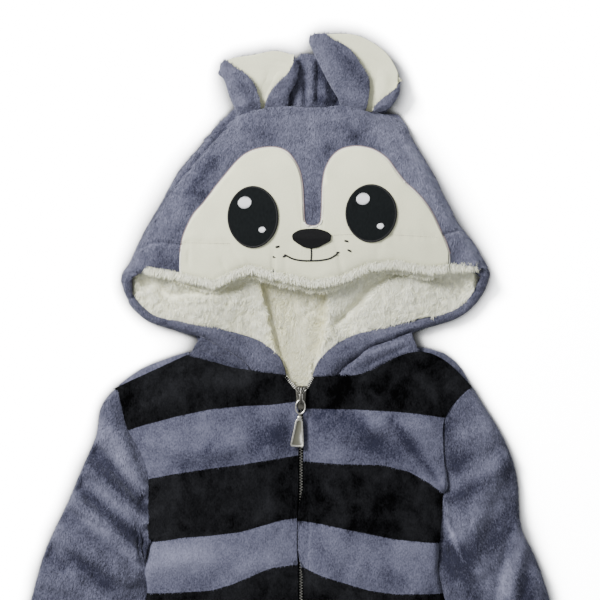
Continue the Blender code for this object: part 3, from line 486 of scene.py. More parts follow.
# Edges of the black bands from the top down, each from left to right: X and Y on the pattern.
BAND_EDGES = {
    "left": [
        [(-200, -64), (-172, -55), (-138, -46), (-101, -38), (-63, -34), (-32, -33), (-3, -29)],
        [(-200, -122), (-170, -115), (-140, -109), (-101, -103), (-68, -99), (-27, -92), (0, -88)],
        [(-200, -187), (-154, -183), (-129, -179), (-101, -177), (-68, -173), (-22, -160), (0, -157)],
        [(-190, -241), (-150, -240), (-99, -237), (-75, -230), (-50, -219), (-33, -212), (0, -208)],
        [(-190, -318), (-150, -314), (-110, -307), (-60, -294), (0, -284)]],
    "right": [
        [(3, -37), (60, -38), (100, -40), (130, -43), (157, -47), (190, -56)],
        [(3, -95), (45, -98), (90, -99), (118, -106), (140, -118), (157, -131), (190, -150)],
        [(3, -161), (22, -164), (60, -172), (104, -181), (140, -184), (180, -186)],
        [(3, -212), (22, -221), (45, -228), (75, -237), (104, -241), (140, -241), (180, -240)],
        [(3, -286), (60, -296), (104, -307), (140, -312), (190, -315)]]}
SEAM_WIDTH = 1.5
SEAM_DEPTH = 1.5


def band_of(points, edges):
    """Millimetres into the nearest black band, negative on the grey between the bands."""
    nearest = np.full(len(points), 1e3)
    black = np.ones(len(points), bool)
    for edge in edges:
        gap = points[:, 1] - np.interp(points[:, 0], *np.array(edge, float).T)
        nearest = np.where(np.abs(gap) < nearest, np.abs(gap), nearest)
        black ^= gap < 0
    return np.where(black, nearest, -nearest)


def make_banded_plush():
    """Plush and black velvet on one panel, changing at the band edges."""
    material, tree, shader = new_material("banded_plush", 0.95, 0.0, PLUSH_SHEEN, level=0.02)
    grey = grey_pile(tree)
    black = use_group(tree, pile_group, Light=(*BLACK_LIGHT, 1), Dark=(*BLACK_DARK, 1),
                      Nap=attribute(tree, "nap"), **BLACK_PARTS)
    ragged = sums(tree, "MULTIPLY", sums(tree, "SUBTRACT", speckle(tree, 0.5), 0.5), BAND_BLUR)
    band = sums(tree, "ADD", attribute(tree, "band"), ragged)
    in_band = sums(tree, "ADD", sums(tree, "MULTIPLY", band, BAND_CHANGE), 0.5, clamp=True)
    colour = mixed(tree, in_band, grey.outputs["Colour"], black.outputs["Colour"])
    tree.links.new(colour, shader.inputs["Base Color"])
    gleam = sums(tree, "MULTIPLY_ADD", in_band, BLACK_GLEAM - PLUSH_GLEAM, PLUSH_GLEAM)
    tree.links.new(gleam, shader.inputs["Sheen Weight"])
    raise_by(tree, shader, grey.outputs["Height"], *PLUSH_BUMP)
    return material


banded_plush = make_banded_plush()

# Soft folds of the fronts, and how their pile is brushed, with painted shade and highlight along the folds.
FRONT_FOLDS = {
    "left": [([(-165, -75), (-120, -88), (-70, -80)], 12, 9, 1.6),
             ([(-168, -160), (-120, -132), (-60, -124)], 14, 10, 1.8),
             ([(-168, -215), (-120, -202), (-60, -214)], 16, 11, 1.8),
             ([(-30, -60), (-40, -140), (-30, -220)], 14, 20, 1.2),
             ([(-165, -40), (-120, -10), (-60, -4)], 10, 14, 1.6),
             ([(-160, -330), (-90, -360), (-40, -350)], 16, 14, 2.2),
             ([(-150, -470), (-80, -450), (-30, -500)], 16, 14, 2.6),
             ([(-160, -600), (-110, -640), (-60, -630)], 16, 14, 2.4),
             ([(-150, -760), (-110, -735), (-60, -750)], 14, 12, 2.2)],
    "right": [([(140, -60), (100, -52), (50, -66)], 12, 12, 1.4),
              ([(100, -50), (120, -76), (150, -115)], 4, 5, -1.6),
              ([(130, -2), (156, -26)], 4, 4, 1.5), ([(136, 6), (160, -12)], 4, 4, -1.2),
              ([(152, -120), (110, -70), (80, -52)], 10, 18, 2.6),
              ([(150, -196), (110, -158), (70, -148)], 12, 14, 2.0),
              ([(30, -60), (40, -140), (30, -240)], 18, 12, 1.2),
              ([(60, -215), (52, -250)], 8, 8, 1.2),
              ([(150, -350), (90, -372), (40, -360)], 16, 14, 2.2),
              ([(150, -480), (80, -455), (30, -500)], 16, 14, 2.6),
              ([(160, -620), (110, -650), (60, -640)], 16, 14, 2.4),
              ([(150, -750), (110, -725), (60, -740)], 14, 12, 2.2)]}
FRONT_NAP_AND_SHADE = {
    "left": [([(-170, -80), (-10, -70)], 30, -0.20), ([(-170, -208), (-10, -195)], 26, 0.20),
             ([(-160, -70), (-110, -60), (-60, -72)], 13, 0.22),
             ([(-130, -98), (-60, -84), (-25, -60)], 13, -0.30),
             ([(-20, -50), (-22, -85)], 8, -0.25), ([(-150, -200), (-110, -190)], 12, 0.25),
             ([(-120, -225), (-40, -190)], 12, -0.2), ([(-170, -10), (-60, -4)], 10, 0.3)],
    "right": [([(50, -48), (75, -62), (105, -85)], 18, -0.42), ([(10, -60), (120, -78)], 26, -0.30),
              ([(10, -195), (170, -208)], 26, 0.15), ([(10, -14), (170, -22)], 22, -0.22),
              ([(10, -130), (170, -146)], 26, -0.36), ([(9.5, -44), (9.5, -230)], 1.8, 0.22),
              ([(128, -130), (152, -165)], 10, 0.5),
              ([(100, -50), (120, -76), (150, -115)], 3.5, -0.30), ([(134, -120), (150, -150)], 9, 0.45),
              ([(132, -4), (152, -30)], 7, 0.35), ([(20, -45), (30, -40)], 9, -0.3),
              ([(88, -60), (108, -88), (128, -100)], 16, 0.22), ([(10, -90), (40, -88)], 9, 0.22),
              ([(100, -50), (120, -76), (140, -110)], 6, -0.30), ([(120, -60), (150, -75)], 12, 0.2),
              ([(20, -185), (40, -225)], 9, -0.22), ([(55, -175), (75, -222)], 10, -0.15),
              ([(105, -190), (130, -188)], 12, 0.25), ([(95, -222), (112, -230)], 9, -0.35),
              ([(120, -240), (138, -200)], 8, 0.2)]}

# Beside the zip: where the neck's open edges meet it, how steeply they rise from there, and how
# far from the middle line they start and are held.
V_FOOT, V_SLOPE = -15.5, 1.3
V_START, V_REACH = 2.9, 5.0
# Below the chest the right front laps over the zip: middle and half length of the lap, the place
# and reach of the edges that move, and how far each moves in X.
LAP_MIDDLE, LAP_HALF, LAP_FULL = -172.0, 46.0, 1.15
LAP_EDGE, LAP_REACH = 2.8, 9.0
LAP_SHIFT = {"left": -1.6, "right": -6.4}
LONGEST_EDGE = 7.0              # longer ones are cut, so that the bands' colours run evenly
EDGE_CUTS = 4                   # at most this many times
FRONT_FULLNESS = 2.0            # how much deeper the folds are than listed


def cut_long_edges(piece):
    """Halves the long edges of a piece until none is left."""
    bm = bmesh.new()
    bm.from_mesh(piece.data)
    for _ in range(EDGE_CUTS):
        lengthy = [edge for edge in bm.edges if edge.calc_length() > LONGEST_EDGE * MM]
        if not lengthy:
            break
        bmesh.ops.subdivide_edges(bm, edges=lengthy, cuts=1, use_grid_fill=True)
    bm.to_mesh(piece.data)
    bm.free()


fronts = {}
for side, shift in LAP_SHIFT.items():
    front = cloth("front_" + side, "front_panel_" + side, banded_plush, "front_plush", 2)
    cut_long_edges(front)
    spots = points_of(front)
    beside = np.abs(spots[:, 0])
    neck_edge = V_FOOT + V_SLOPE * (beside - V_START)
    spots[:, 1] = np.where(beside < V_REACH, np.minimum(spots[:, 1], neck_edge), spots[:, 1])
    lap = np.clip(LAP_FULL - np.abs((spots[:, 1] - LAP_MIDDLE) / LAP_HALF) ** 2, 0, 1)
    near_zip = np.exp(-(beside - LAP_EDGE) / LAP_REACH)
    spots[:, 0] += shift * lap * near_zip
    put_points(front, spots)
    relief = FRONT_FULLNESS * folds(spots, FRONT_FOLDS[side]) + 0.8 * lumps(spots, 26, 3)
    band = band_of(spots, BAND_EDGES[side])
    groove = SEAM_DEPTH * np.exp(-(band / SEAM_WIDTH) ** 2)
    swell(front, upward(front) * (relief + 0.4 * lumps(spots, 7, 4) - groove))
    carry(front, "band", band)
    carry(front, "nap", nap_and_shade_of(spots, FRONT_NAP_AND_SHADE[side], 5, 0.58, relief))
    fronts[side] = front


# ---- Sleeves --------------------------------------------------------------------------------
# Each sleeve is one piece of grey-blue plush, closed under the arm and set into the armhole.
# Laid down, its cloth gathers in slanting folds below the shoulder and at the elbow.
SLEEVE_FOLDS = {
    "left": [([(-230, -75), (-199, -112), (-175, -134)], 5, 7, -3.0),
             ([(-249, -113), (-218, -152), (-177, -185)], 5, 8, -3.0),
             ([(-287, -182), (-262, -211)], 6, 8, -2.5),
             ([(-216, -22), (-196, -70), (-176, -130)], 6, 7, 2.0),
             ([(-230, -62), (-205, -82), (-176, -125)], 8, 5, 2.0),
             ([(-243, -98), (-210, -118), (-172, -160)], 9, 5, 4.5),
             ([(-252, -140), (-215, -158), (-178, -196)], 10, 6, 4.5),
             ([(-268, -178), (-230, -196), (-190, -224)], 10, 7, 3.5),
             ([(-285, -225), (-245, -232), (-205, -262)], 11, 8, 3.0),
             ([(-300, -290), (-262, -288), (-230, -320)], 10, 8, 2.5)],
    "right": [([(241, -165), (234, -195), (224, -237), (222, -270)], 12, 5, 4.5),
              ([(160, -140), (178, -170), (192, -215)], 8, 6, 3.0),
              ([(225, -90), (205, -118), (192, -150)], 10, 8, 3.0),
              ([(168, -188), (180, -222), (188, -262)], 8, 6, 3.5),
              ([(262, -220), (252, -260), (246, -300)], 10, 7, 3.0),
              ([(290, -320), (262, -330), (240, -350)], 10, 7, 2.5)]}
# Streaks of brushed pile, with painted shade in the folds' hollows and painted highlight on their ridges.
SLEEVE_NAP_AND_SHADE = {
    "left": [([(-216, -57), (-195, -97), (-172, -137)], 9, 0.35),
             ([(-232, -88), (-200, -117), (-172, -145)], 8, -0.55),
             ([(-232, -119), (-199, -144), (-172, -167)], 9, 0.3),
             ([(-232, -137), (-205, -159), (-172, -191)], 8, -0.5),
             ([(-232, -158), (-196, -188), (-177, -205)], 9, 0.35), ([(-250, -200), (-215, -225)], 10, -0.3)],
    "right": [([(165, -75), (185, -60), (200, -55)], 14, 0.25), ([(160, -60), (172, -100)], 10, -0.3),
              ([(175, -118), (205, -90)], 10, 0.25), ([(165, -135), (215, -110), (228, -100)], 8, -0.3),
              ([(168, -172), (210, -150)], 10, 0.25), ([(180, -200), (215, -170), (235, -150)], 12, -0.4),
              ([(165, -190), (180, -230), (200, -262)], 12, -0.35), ([(205, -215), (200, -250)], 10, 0.2),
              ([(226, -210), (220, -240)], 8, 0.3), ([(246, -225), (246, -270)], 10, -0.45),
              ([(160, -160), (178, -204)], 2.6, 0.5), ([(246, -170), (232, -205), (224, -238)], 5, 0.35)]}

# Under each arm the sleeve lies against the body: its seam there, and how far it is moved in.
UNDERARM = {"left": [(-168, -186), (-176, -206), (-178, -247), (-196, -295)],
            "right": [(152, -187), (158, -220), (167, -248), (184, -300)]}
UNDERARM_SHIFT = ([-330, -262, -245, -215, -190, -150], [0, 8.5, 8.5, 6.5, 3, 0])
UNDERARM_REACH = 14.0

SLEEVE_RIDGE = 5.0              # no fold of a sleeve stands higher than this
SLEEVE_FULLNESS = 2.5           # how much deeper the folds are than listed, below that height
SLEEVE_STROKE = 1.75            # how much stronger its streaks of brushing, painted shade and highlight are than listed
SLEEVE_TOP = (0.65, 0.97)       # folds fade out between these slopes, towards the sleeve's sides
SLEEVE_TONE = {"left": 0.37, "right": 0.46}

sleeves = {}
for side, way in OUTWARD.items():
    sleeve = cloth("sleeve_" + side, "sleeve_panel_" + side, plush, "plush")
    spots = points_of(sleeve)
    close = np.exp(-(side_of(spots, UNDERARM[side]) / UNDERARM_REACH) ** 2)
    spots[:, 0] += -way * close * np.interp(spots[:, 1], *UNDERARM_SHIFT)
    put_points(sleeve, spots)
    depth = SLEEVE_FULLNESS * folds(spots, SLEEVE_FOLDS[side])
    relief = SLEEVE_RIDGE * np.tanh(depth / SLEEVE_RIDGE) + 1.2 * lumps(spots, 20, 6)
    swell(sleeve, upward(sleeve, *SLEEVE_TOP) * (relief + 0.4 * lumps(spots, 7, 7)))
    strokes = [(line, width, SLEEVE_STROKE * change) for line, width, change in SLEEVE_NAP_AND_SHADE[side]]
    carry(sleeve, "nap", nap_and_shade_of(spots, strokes, 8, SLEEVE_TONE[side], relief))
    sleeves[side] = sleeve


# ---- Zip ------------------------------------------------------------------------------------
# A metal zip from the neck to the crotch: woven black tapes sewn under the front edges, rows
# of single teeth, closed below the slider and open above it along both edges of the neck.
TOOTH = (1.9, 1.15, 2.0)
TOOTH_PITCH = 3.1
ZIP_END = -523.0
ZIP_START = -38.4
CHAIN_HEIGHT = 9.0
OPEN_ROWS = {"left": ((-6.4, -14.0), (-16.2, -2.2)), "right": ((6.6, -14.0), (12.4, -3.0))}
OPEN_HEIGHT = 13.4
OPEN_PITCH = 2.0
OPEN_SIZE = (1.6, 1.0, 1.0)     # the open teeth show their whole length
TOOTH_ROUND = 0.35
TOOTH_OFFSET = 0.75             # each row's teeth stand this far from the middle line
METAL = (0.50, 0.49, 0.45)
BRIGHT_METAL = (0.95, 0.93, 0.86)
SLIDER_METAL = (0.13, 0.125, 0.11)
TAPE_DARK, TAPE_LIGHT = (0.004, 0.004, 0.005), (0.016, 0.016, 0.018)


def new_piece_mesh(name, bm):
    """The mesh of a finished bmesh, with its faces outwards."""
    bmesh.ops.recalc_face_normals(bm, faces=bm.faces[:])
    mesh = bpy.data.meshes.new(name)
    bm.to_mesh(mesh)
    bm.free()
    return mesh


def scattered(name, template, places, material, slot):
    """One piece of many copies of a small template, each set by a matrix in pattern millimetres."""
    template.verts.index_update()
    corners = np.array([vert.co for vert in template.verts])
    faces = [[vert.index for vert in face.verts] for face in template.faces]
    turns = np.array([np.array(place) for place in places])
    spots = np.einsum("nij,vj->nvi", turns[:, :3, :3], corners) + turns[:, None, :3, 3]
    spots = (spots.reshape(-1, 3) + np.array(NECK_POINT)) * MM
    starts = np.arange(len(places)) * len(corners)
    mesh = bpy.data.meshes.new(name)
    mesh.from_pydata(spots.tolist(), [],
                     [[start + k for k in face] for start in starts.tolist() for face in faces])
    template.free()
    return finished(name, mesh, material, slot)


def set_on(place, along, up, size=(1, 1, 1)):
    """A matrix at a place, with X along one direction and Z near another."""
    x = Vector(along).normalized()
    z = Vector(up) - x * Vector(up).dot(x)
    z.normalize()
    turn = Matrix((x, z.cross(x), z)).transposed()
    return Matrix.Translation(place) @ (turn @ Matrix.Diagonal(size)).to_4x4()


def between(tree, value, low, high):
    """0 below low and 1 above high, with a smooth change."""
    node = add_node(tree, "ShaderNodeMapRange", {"Value": value, "From Min": low, "From Max": high},
                    interpolation_type="SMOOTHSTEP")
    return node.outputs[0]


def paint(tree, shader, share, dark, light):
    """Colours a material between two tones."""
    tree.links.new(mixed(tree, share, (*dark, 1), (*light, 1)), shader.inputs["Base Color"])


def make_metal(name, colour, roughness, wear):
    """Plated metal, duller and a little pitted where it is rubbed."""
    material, tree, shader = new_material(name, roughness, metallic=1.0, level=0.5)
    scuffs = speckle(tree, wear, 4.0)
    paint(tree, shader, between(tree, scuffs, 0.35, 0.65), [0.72 * part for part in colour], colour)
    dull = sums(tree, "MULTIPLY_ADD", scuffs, 0.25, roughness - 0.1, clamp=True)
    tree.links.new(dull, shader.inputs["Roughness"])
    raise_by(tree, shader, scuffs, 0.05, 0.4)
    return material


zip_metal = make_metal("zip_metal", METAL, 0.34, 0.6)
bright_metal = make_metal("bright_metal", BRIGHT_METAL, 0.45, 0.6)


def tooth_template():
    """One tooth: a small block with its long edges taken off."""
    bm = bmesh.new()
    bmesh.ops.create_cube(bm, size=1)
    bmesh.ops.scale(bm, vec=TOOTH, verts=bm.verts)
    long = [edge for edge in bm.edges if abs(edge.verts[0].co.x - edge.verts[1].co.x) > TOOTH[0] / 2]
    bmesh.ops.bevel(bm, geom=long, offset=TOOTH_ROUND, segments=1, profile=0.5, affect="EDGES", material=-1)
    return bm


def teeth(name, node, places, material):
    """A row of teeth as one piece, in place of its solid."""
    row = scattered(name, tooth_template(), places, material, "zip_metal")
    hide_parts(node)
    row.data.shade_flat()


places = []
for step in range(int((ZIP_START - ZIP_END) / (TOOTH_PITCH / 2))):
    way = 1 if step % 2 else -1
    y = ZIP_START - step * TOOTH_PITCH / 2
    places.append(set_on((way * TOOTH_OFFSET, y, CHAIN_HEIGHT), (way, 0, 0), (0, 0, 1)))
teeth("zip_teeth_closed", "zip_chain", places, zip_metal)

for side, (low, high) in OPEN_ROWS.items():
    run = Vector(high) - Vector(low)
    across = Vector((-run.y, run.x, 0)).normalized() * OUTWARD[side]
    count = int(run.length / OPEN_PITCH)
    places = [set_on((*(Vector(low) + run * (k / count)), OPEN_HEIGHT), across, (0, 0, 1), OPEN_SIZE)
              for k in range(count + 1)]
    teeth("zip_teeth_open_" + side, "zip_open_" + side, places, bright_metal)


def ribs(tree, scale, distortion, direction):
    """Woven ribs across one direction, with this many to the millimetre."""
    place = add_node(tree, "ShaderNodeTexCoord").outputs["Object"]
    texture = add_node(tree, "ShaderNodeTexWave", {"Vector": place, "Scale": scale / MM,
                                                   "Distortion": distortion}, bands_direction=direction)
    return texture.outputs["Fac"]


def make_tape():
    """Closely woven black tape."""
    material, tree, shader = new_material("zip_tape", 0.8, 0.1, level=0.1)
    weave = ribs(tree, 0.32, 1.0, "DIAGONAL")
    paint(tree, shader, weave, TAPE_DARK, TAPE_LIGHT)
    raise_by(tree, shader, weave, 0.3)
    return material


def dressed(name, material):
    """A solid that shows as it is, in its material."""
    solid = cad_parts[name]
    solid.data.materials.clear()
    solid.data.materials.append(material)
    return solid


tape = make_tape()
for side in OUTWARD:
    dressed("zip_tape_" + side, tape)
slider = dressed("zip_slider", make_metal("slider_metal", SLIDER_METAL, 0.42, 0.5))

# Bright raised bars on the slider, each from end to end: a fan at its top, its sides and the bridge.
SLIDER_BARS = [((-2.6, -19.5), (-6.0, -15.8)), ((-1.5, -18.4), (-3.2, -14.4)), ((0, -18.0), (0, -14.0)),
               ((1.5, -18.4), (3.2, -14.4)), ((2.6, -19.5), (6.0, -15.8)), ((-6.2, -18.0), (-4.6, -34.0)),
               ((6.2, -18.0), (4.6, -34.0)), ((-1.5, -21.0), (-1.5, -31.0)), ((1.5, -21.0), (1.5, -31.0))]
BAR_THICK = 1.15
BAR_FACES = (10, 6)
BAR_PROUD = 0.2                 # a bar's middle stands this far off the slider
BAR_LEVEL = 12.0                # and at this height where it reaches past the slider
OVERHEAD = 90.0                 # a height above everything
slider_top = BVHTree.FromPolygons(
    [(slider.matrix_world @ vert.co) / MM - NECK_POINT for vert in slider.data.vertices],
    [face.vertices[:] for face in slider.data.polygons])


def top_of(surface, x, y):
    """The highest point of a surface at a place, and the way it faces there."""
    return surface.ray_cast((x, y, OVERHEAD), (0, 0, -1))[:2]


def bead(around, lengthways):
    """A small plump bead with rounded ends, lying along X, with this many faces each way."""
    bm = bmesh.new()
    bmesh.ops.create_uvsphere(bm, u_segments=around, v_segments=lengthways, radius=0.5)
    bmesh.ops.rotate(bm, cent=(0, 0, 0), matrix=Matrix.Rotation(math.pi / 2, 3, "Y"), verts=bm.verts[:])
    return bm


places = []
for low, high in SLIDER_BARS:
    middle = (Vector(low) + Vector(high)) / 2
    hit, _ = top_of(slider_top, *middle)
    run = Vector(high) - Vector(low)
    places.append(set_on((*middle, (hit.z if hit else BAR_LEVEL) + BAR_PROUD), (*run, 0), (0, 0, 1),
                         (run.length + BAR_THICK, BAR_THICK, BAR_THICK)))
scattered("zip_slider_bars", bead(*BAR_FACES), places, zip_metal, "zip_metal")


# ---- Pull tab -------------------------------------------------------------------------------
# The pull hangs from the slider's bridge by an oval link: a plated frame round a field of dull
# olive enamel, left bare. It swings about the link's top bar.
PIVOT = (0.0, -27.5, 18.8)
PULL_LEAN = math.radians(-5)
LINK = (5.1, 7.7, 0.85)         # half width and half length of the link, and its wire's radius
NECK_BALL = (2.7, 2.4, 1.6)
TAB_TOP = -20.8
TAB = [(2.4, 0.0), (4.0, -2.6), (7.5, -28.6), (6.4, -30.8)]
TAB_THICK = 1.7
TAB_ROUND = 0.35
TAB_CORNER = 0.5                # its corners are the edges sharper than this, in radians
FRAME_WIDTH = 1.2
ENAMEL_STEP, ENAMEL_SUNK = 0.3, 0.45
BALL_RISE = 1.6                 # the neck ball's middle above the tab's top
BALL_FACES = (20, 12)
LINK_RISE = 1.0                 # the link's top above the pivot
LINK_STEPS = 48
ENAMEL_DARK, ENAMEL_LIGHT = (0.060, 0.059, 0.043), (0.098, 0.095, 0.072)
PULL_METAL = (0.66, 0.64, 0.58)

pull_metal = make_metal("pull_metal", PULL_METAL, 0.28, 0.35)


def make_enamel():
    """Dull olive-grey enamel, faintly clouded."""
    material, tree, shader = new_material("pull_enamel", 0.32, level=0.5)
    cloud = speckle(tree, 0.12, 3.0)
    paint(tree, shader, cloud, ENAMEL_DARK, ENAMEL_LIGHT)
    tree.links.new(sums(tree, "MULTIPLY_ADD", cloud, 0.3, 0.2), shader.inputs["Roughness"])
    return material


def tube(bm, path, radius, sides=12):
    """A closed ring of wire along a flat loop of points."""
    path = np.array(path, float)
    ways = np.roll(path, -1, 0) - np.roll(path, 1, 0)
    ways /= np.linalg.norm(ways, axis=1)[:, None]
    rings = []
    for spot, way in zip(path.tolist(), ways.tolist()):
        out = Vector((way[1], -way[0], 0))
        rings.append([bm.verts.new(Vector(spot) + radius * (math.cos(a) * out + Vector((0, 0, math.sin(a)))))
                      for a in np.linspace(0, 2 * math.pi, sides, endpoint=False)])
    for first, second in zip(rings, rings[1:] + rings[:1]):
        for k in range(sides):
            bm.faces.new([first[k], first[(k + 1) % sides], second[(k + 1) % sides], second[k]])


def make_pull():
    """The link, the ball under it and the framed tab, as one piece."""
    bm = bmesh.new()
    outline = [(-x, y) for x, y in TAB[::-1]] + TAB
    plate = bm.faces.new([bm.verts.new((x, TAB_TOP + y, -TAB_THICK / 2)) for x, y in outline])
    top = bmesh.ops.extrude_face_region(bm, geom=[plate])["geom"]
    raised = [part for part in top if isinstance(part, bmesh.types.BMVert)]
    bmesh.ops.translate(bm, vec=(0, 0, TAB_THICK), verts=raised)
    bmesh.ops.recalc_face_normals(bm, faces=bm.faces[:])
    corners = [edge for edge in bm.edges if edge.calc_face_angle(0) > TAB_CORNER]
    bmesh.ops.bevel(bm, geom=corners, offset=TAB_ROUND, segments=2, profile=0.5, affect="EDGES", material=-1)
    for face in sorted(bm.faces, key=lambda face: -face.calc_area())[:2]:
        bmesh.ops.inset_region(bm, faces=[face], thickness=FRAME_WIDTH, use_even_offset=True)
        bmesh.ops.inset_region(bm, faces=[face], thickness=ENAMEL_STEP, depth=-ENAMEL_SUNK,
                               use_even_offset=True)
        face.material_index = 1
    around, upwards = BALL_FACES
    ball = bmesh.ops.create_uvsphere(bm, u_segments=around, v_segments=upwards, radius=1)["verts"]
    bmesh.ops.scale(bm, vec=NECK_BALL, verts=ball)
    bmesh.ops.translate(bm, vec=(0, TAB_TOP + BALL_RISE, 0), verts=ball)
    half, long, wire = LINK
    turn = np.linspace(0, 2 * math.pi, LINK_STEPS, endpoint=False)
    middle = LINK_RISE - wire - long
    tube(bm, [(half * math.cos(a), middle + long * math.sin(a), 0) for a in turn], wire)
    bmesh.ops.rotate(bm, cent=(0, 0, 0), matrix=Matrix.Rotation(PULL_LEAN, 3, "Z"), verts=bm.verts[:])
    bmesh.ops.translate(bm, vec=Vector(PIVOT) + NECK_POINT, verts=bm.verts[:])
    bmesh.ops.scale(bm, vec=(MM, MM, MM), verts=bm.verts[:])
    return new_piece_mesh("pull", bm)


pull = finished("zip_pull", make_pull(), pull_metal, "pull_metal", "pull")
pull.data.materials.append(make_enamel())
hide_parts("pull_tab")


# ---- Hood underside and turned edges --------------------------------------------------------
# Below the opening the hood's lower side shows between its turned edge and the neck seam. The
# edge itself is a soft roll of plush, with a thick cord of seam inside it.
COLLAR_FOLDS = {
    "left": [([(-118, 34), (-95, 24), (-72, 12)], 4, 3, 1.2), ([(-108, 26), (-92, 20)], 3, 3, -1.0)],
    "right": [([(118, 40), (98, 30), (72, 22), (56, 8)], 4, 3, 1.4),
              ([(112, 30), (94, 22), (76, 12)], 3, 4, -1.2)]}
# The collars' brushed pile, with painted shade in their creases and painted highlight on their ridges.
COLLAR_NAP_AND_SHADE = {
    "left": [([(-118, 30), (-80, 14)], 6, 0.2), ([(-110, 24), (-70, 10)], 3, -0.3)],
    "right": [([(112, 36), (80, 22)], 5, 0.25), ([(104, 26), (66, 10)], 4, -0.35)]}
RIM_FOLDS = {
    "left": [([(-196, 100), (-183, 78), (-160, 60), (-120, 52), (-90, 42), (-55, 18)], 3.5, 5, 1.2),
             ([(-190, 84), (-180, 88)], 3, 3, -1.2), ([(-150, 52), (-146, 62)], 3, 3, -1.0)],
    "right": [([(207, 105), (194, 80), (170, 63), (130, 55), (85, 40), (50, 20)], 5, 3.5, 1.2),
              ([(199, 90), (190, 94)], 3, 3, -1.2), ([(150, 54), (146, 64)], 3, 3, -1.0)]}
COLLAR_TONE = {"left": 0.30, "right": 0.50}
RIM_TUCK, RIM_PRESS = 3.0, 0.72         # the edge's top end goes in and is pressed down, under the face
TUCK_START, TUCK_FADE = 110.0, 12.0     # from this height on the pattern
COLLAR_REACH, RIM_REACH = 24.0, 16.0    # how far in from its side each is drawn to the outline
PRESS_LEVEL = 3.4               # the top of the cloth below, under which nothing is pressed


def pressed(spots, share):
    """Presses points down towards the cloth below them, by this share of the way."""
    spots[:, 2] -= np.maximum(spots[:, 2] - PRESS_LEVEL, 0) * share


def plush_piece(node, name, seed, relief, strokes, base, levels=3, fine=0.25):
    """A panel of grey-blue plush with its folds and the way its pile is brushed."""
    piece = cloth(node, name, plush, "plush", levels)
    spots = points_of(piece)
    heights = folds(spots, relief) + 0.5 * lumps(spots, 22, seed)
    swell(piece, upward(piece) * (heights + fine * lumps(spots, 7, seed)))
    carry(piece, "nap", nap_and_shade_of(spots, strokes, seed, base, heights))
    return piece


collars, rims = {}, {}
for side, way in OUTWARD.items():
    collar = plush_piece("collar_" + side, "hood_underside_" + side, 15, COLLAR_FOLDS[side],
                         COLLAR_NAP_AND_SHADE[side], COLLAR_TONE[side])
    drawn_to(collar, side, NECK_SIDE[side], COLLAR_REACH)
    rim = plush_piece("hood_rim_" + side, "hood_edge_" + side, 13, RIM_FOLDS[side], [], 0.5)
    drawn_to(rim, side, HOOD_SIDE[side], RIM_REACH)
    spots = points_of(rim)
    share = np.clip((spots[:, 1] - TUCK_START) / TUCK_FADE, 0, 1)
    spots[:, 0] -= way * RIM_TUCK * share ** 2
    pressed(spots, RIM_PRESS * share)
    put_points(rim, spots)
    collars[side], rims[side] = collar, rim


# ---- Lining ---------------------------------------------------------------------------------
# Cream sherpa fleece lines the hood. Its pile is long: soft lumps of it, each a tuft of locks
# that lean together, and a fringe of locks that hangs below the edge of the upper layer.
# The cream of the tips, and a warmer darker base that stands for painted shade deep in the pile.
SHERPA_TIP = (0.94, 0.94, 0.77)
SHERPA_SHADED_BASE = (0.78, 0.755, 0.50)
OPENING_EDGE = [(-199, 113), (-169, 117), (-155, 114), (-132, 110), (-95, 101), (-74, 112), (-58, 118),
                (-30, 111), (14, 102), (43, 106), (73, 120), (102, 123), (141, 116), (161, 119), (190, 120),
                (198, 118)]
LINING_FOLDS = [
    ([(-170, 102), (-158, 99), (-146, 87), (-106, 92), (-67, 99)], 8, 5, -3.5),
    ([(41, 58), (62, 79), (77, 98), (95, 109), (111, 114)], 5, 5, -4.0),
    ([(139, 113), (175, 98)], 8, 10, -4.0)]
# The throat lies lower, between a step on its left and one on its right, with a painted shade at each.
THROAT_STEPS = ([(-46, 110), (-40, 86), (-31, 50), (-17.6, -2)],
                [(28, 110), (28.6, 86), (27, 55), (15.4, 5.5)])
THROAT_SHADE = ([(25, 106), (25.5, 86), (23, 55), (16, 30)], [(-42, 106), (-36, 80), (-27, 45), (-17, 10)])
THROAT_DROP = 3.4
STEP_RISE = 3.2                 # the lining stands this much higher beside a step
STEP_WIDTH = 5.5
BANK_REACH, SHADE_REACH = 15.0, 6.0
LINING_FULLNESS = 1.6           # how much deeper the folds are than listed
LINING_FLOOR = 4.4              # the lining's top never goes below this
OPENING_RISE = 6.0              # the lining swells up to the edge of the opening
OPENING_REACH = 24.0            # over this distance
LINING_ENDS = (-181.0, 190.0)   # past these its two ends lie flat, under the turned edges
ENDS_FADE = 7.0
FLEECE_DEPTH = 0.66             # the fleece's middle tone, between the painted shade at the base of its pile and its pale tips


def make_curl_group():
    """Long curly pile: pale tips over a warmer base of painted shade, mixed by a depth that carries painted
    shade too.
    """
    tree, taken, given = new_group("curly_pile", [("Tip", "Color"), ("Base", "Color"), ("Depth", "Float")],
                                   [("Colour", "Color"), ("Height", "Float")])
    curls = speckle(tree, 0.30, 3.0, distortion=1.6)
    lie = sums(tree, "MULTIPLY_ADD", sums(tree, "SUBTRACT", curls, 0.5), 0.9, taken.outputs["Depth"],
               clamp=True)
    tree.links.new(mixed(tree, lie, taken.outputs["Base"], taken.outputs["Tip"]), given.inputs["Colour"])
    tree.links.new(curls, given.inputs["Height"])
    return tree


curl_group = make_curl_group()


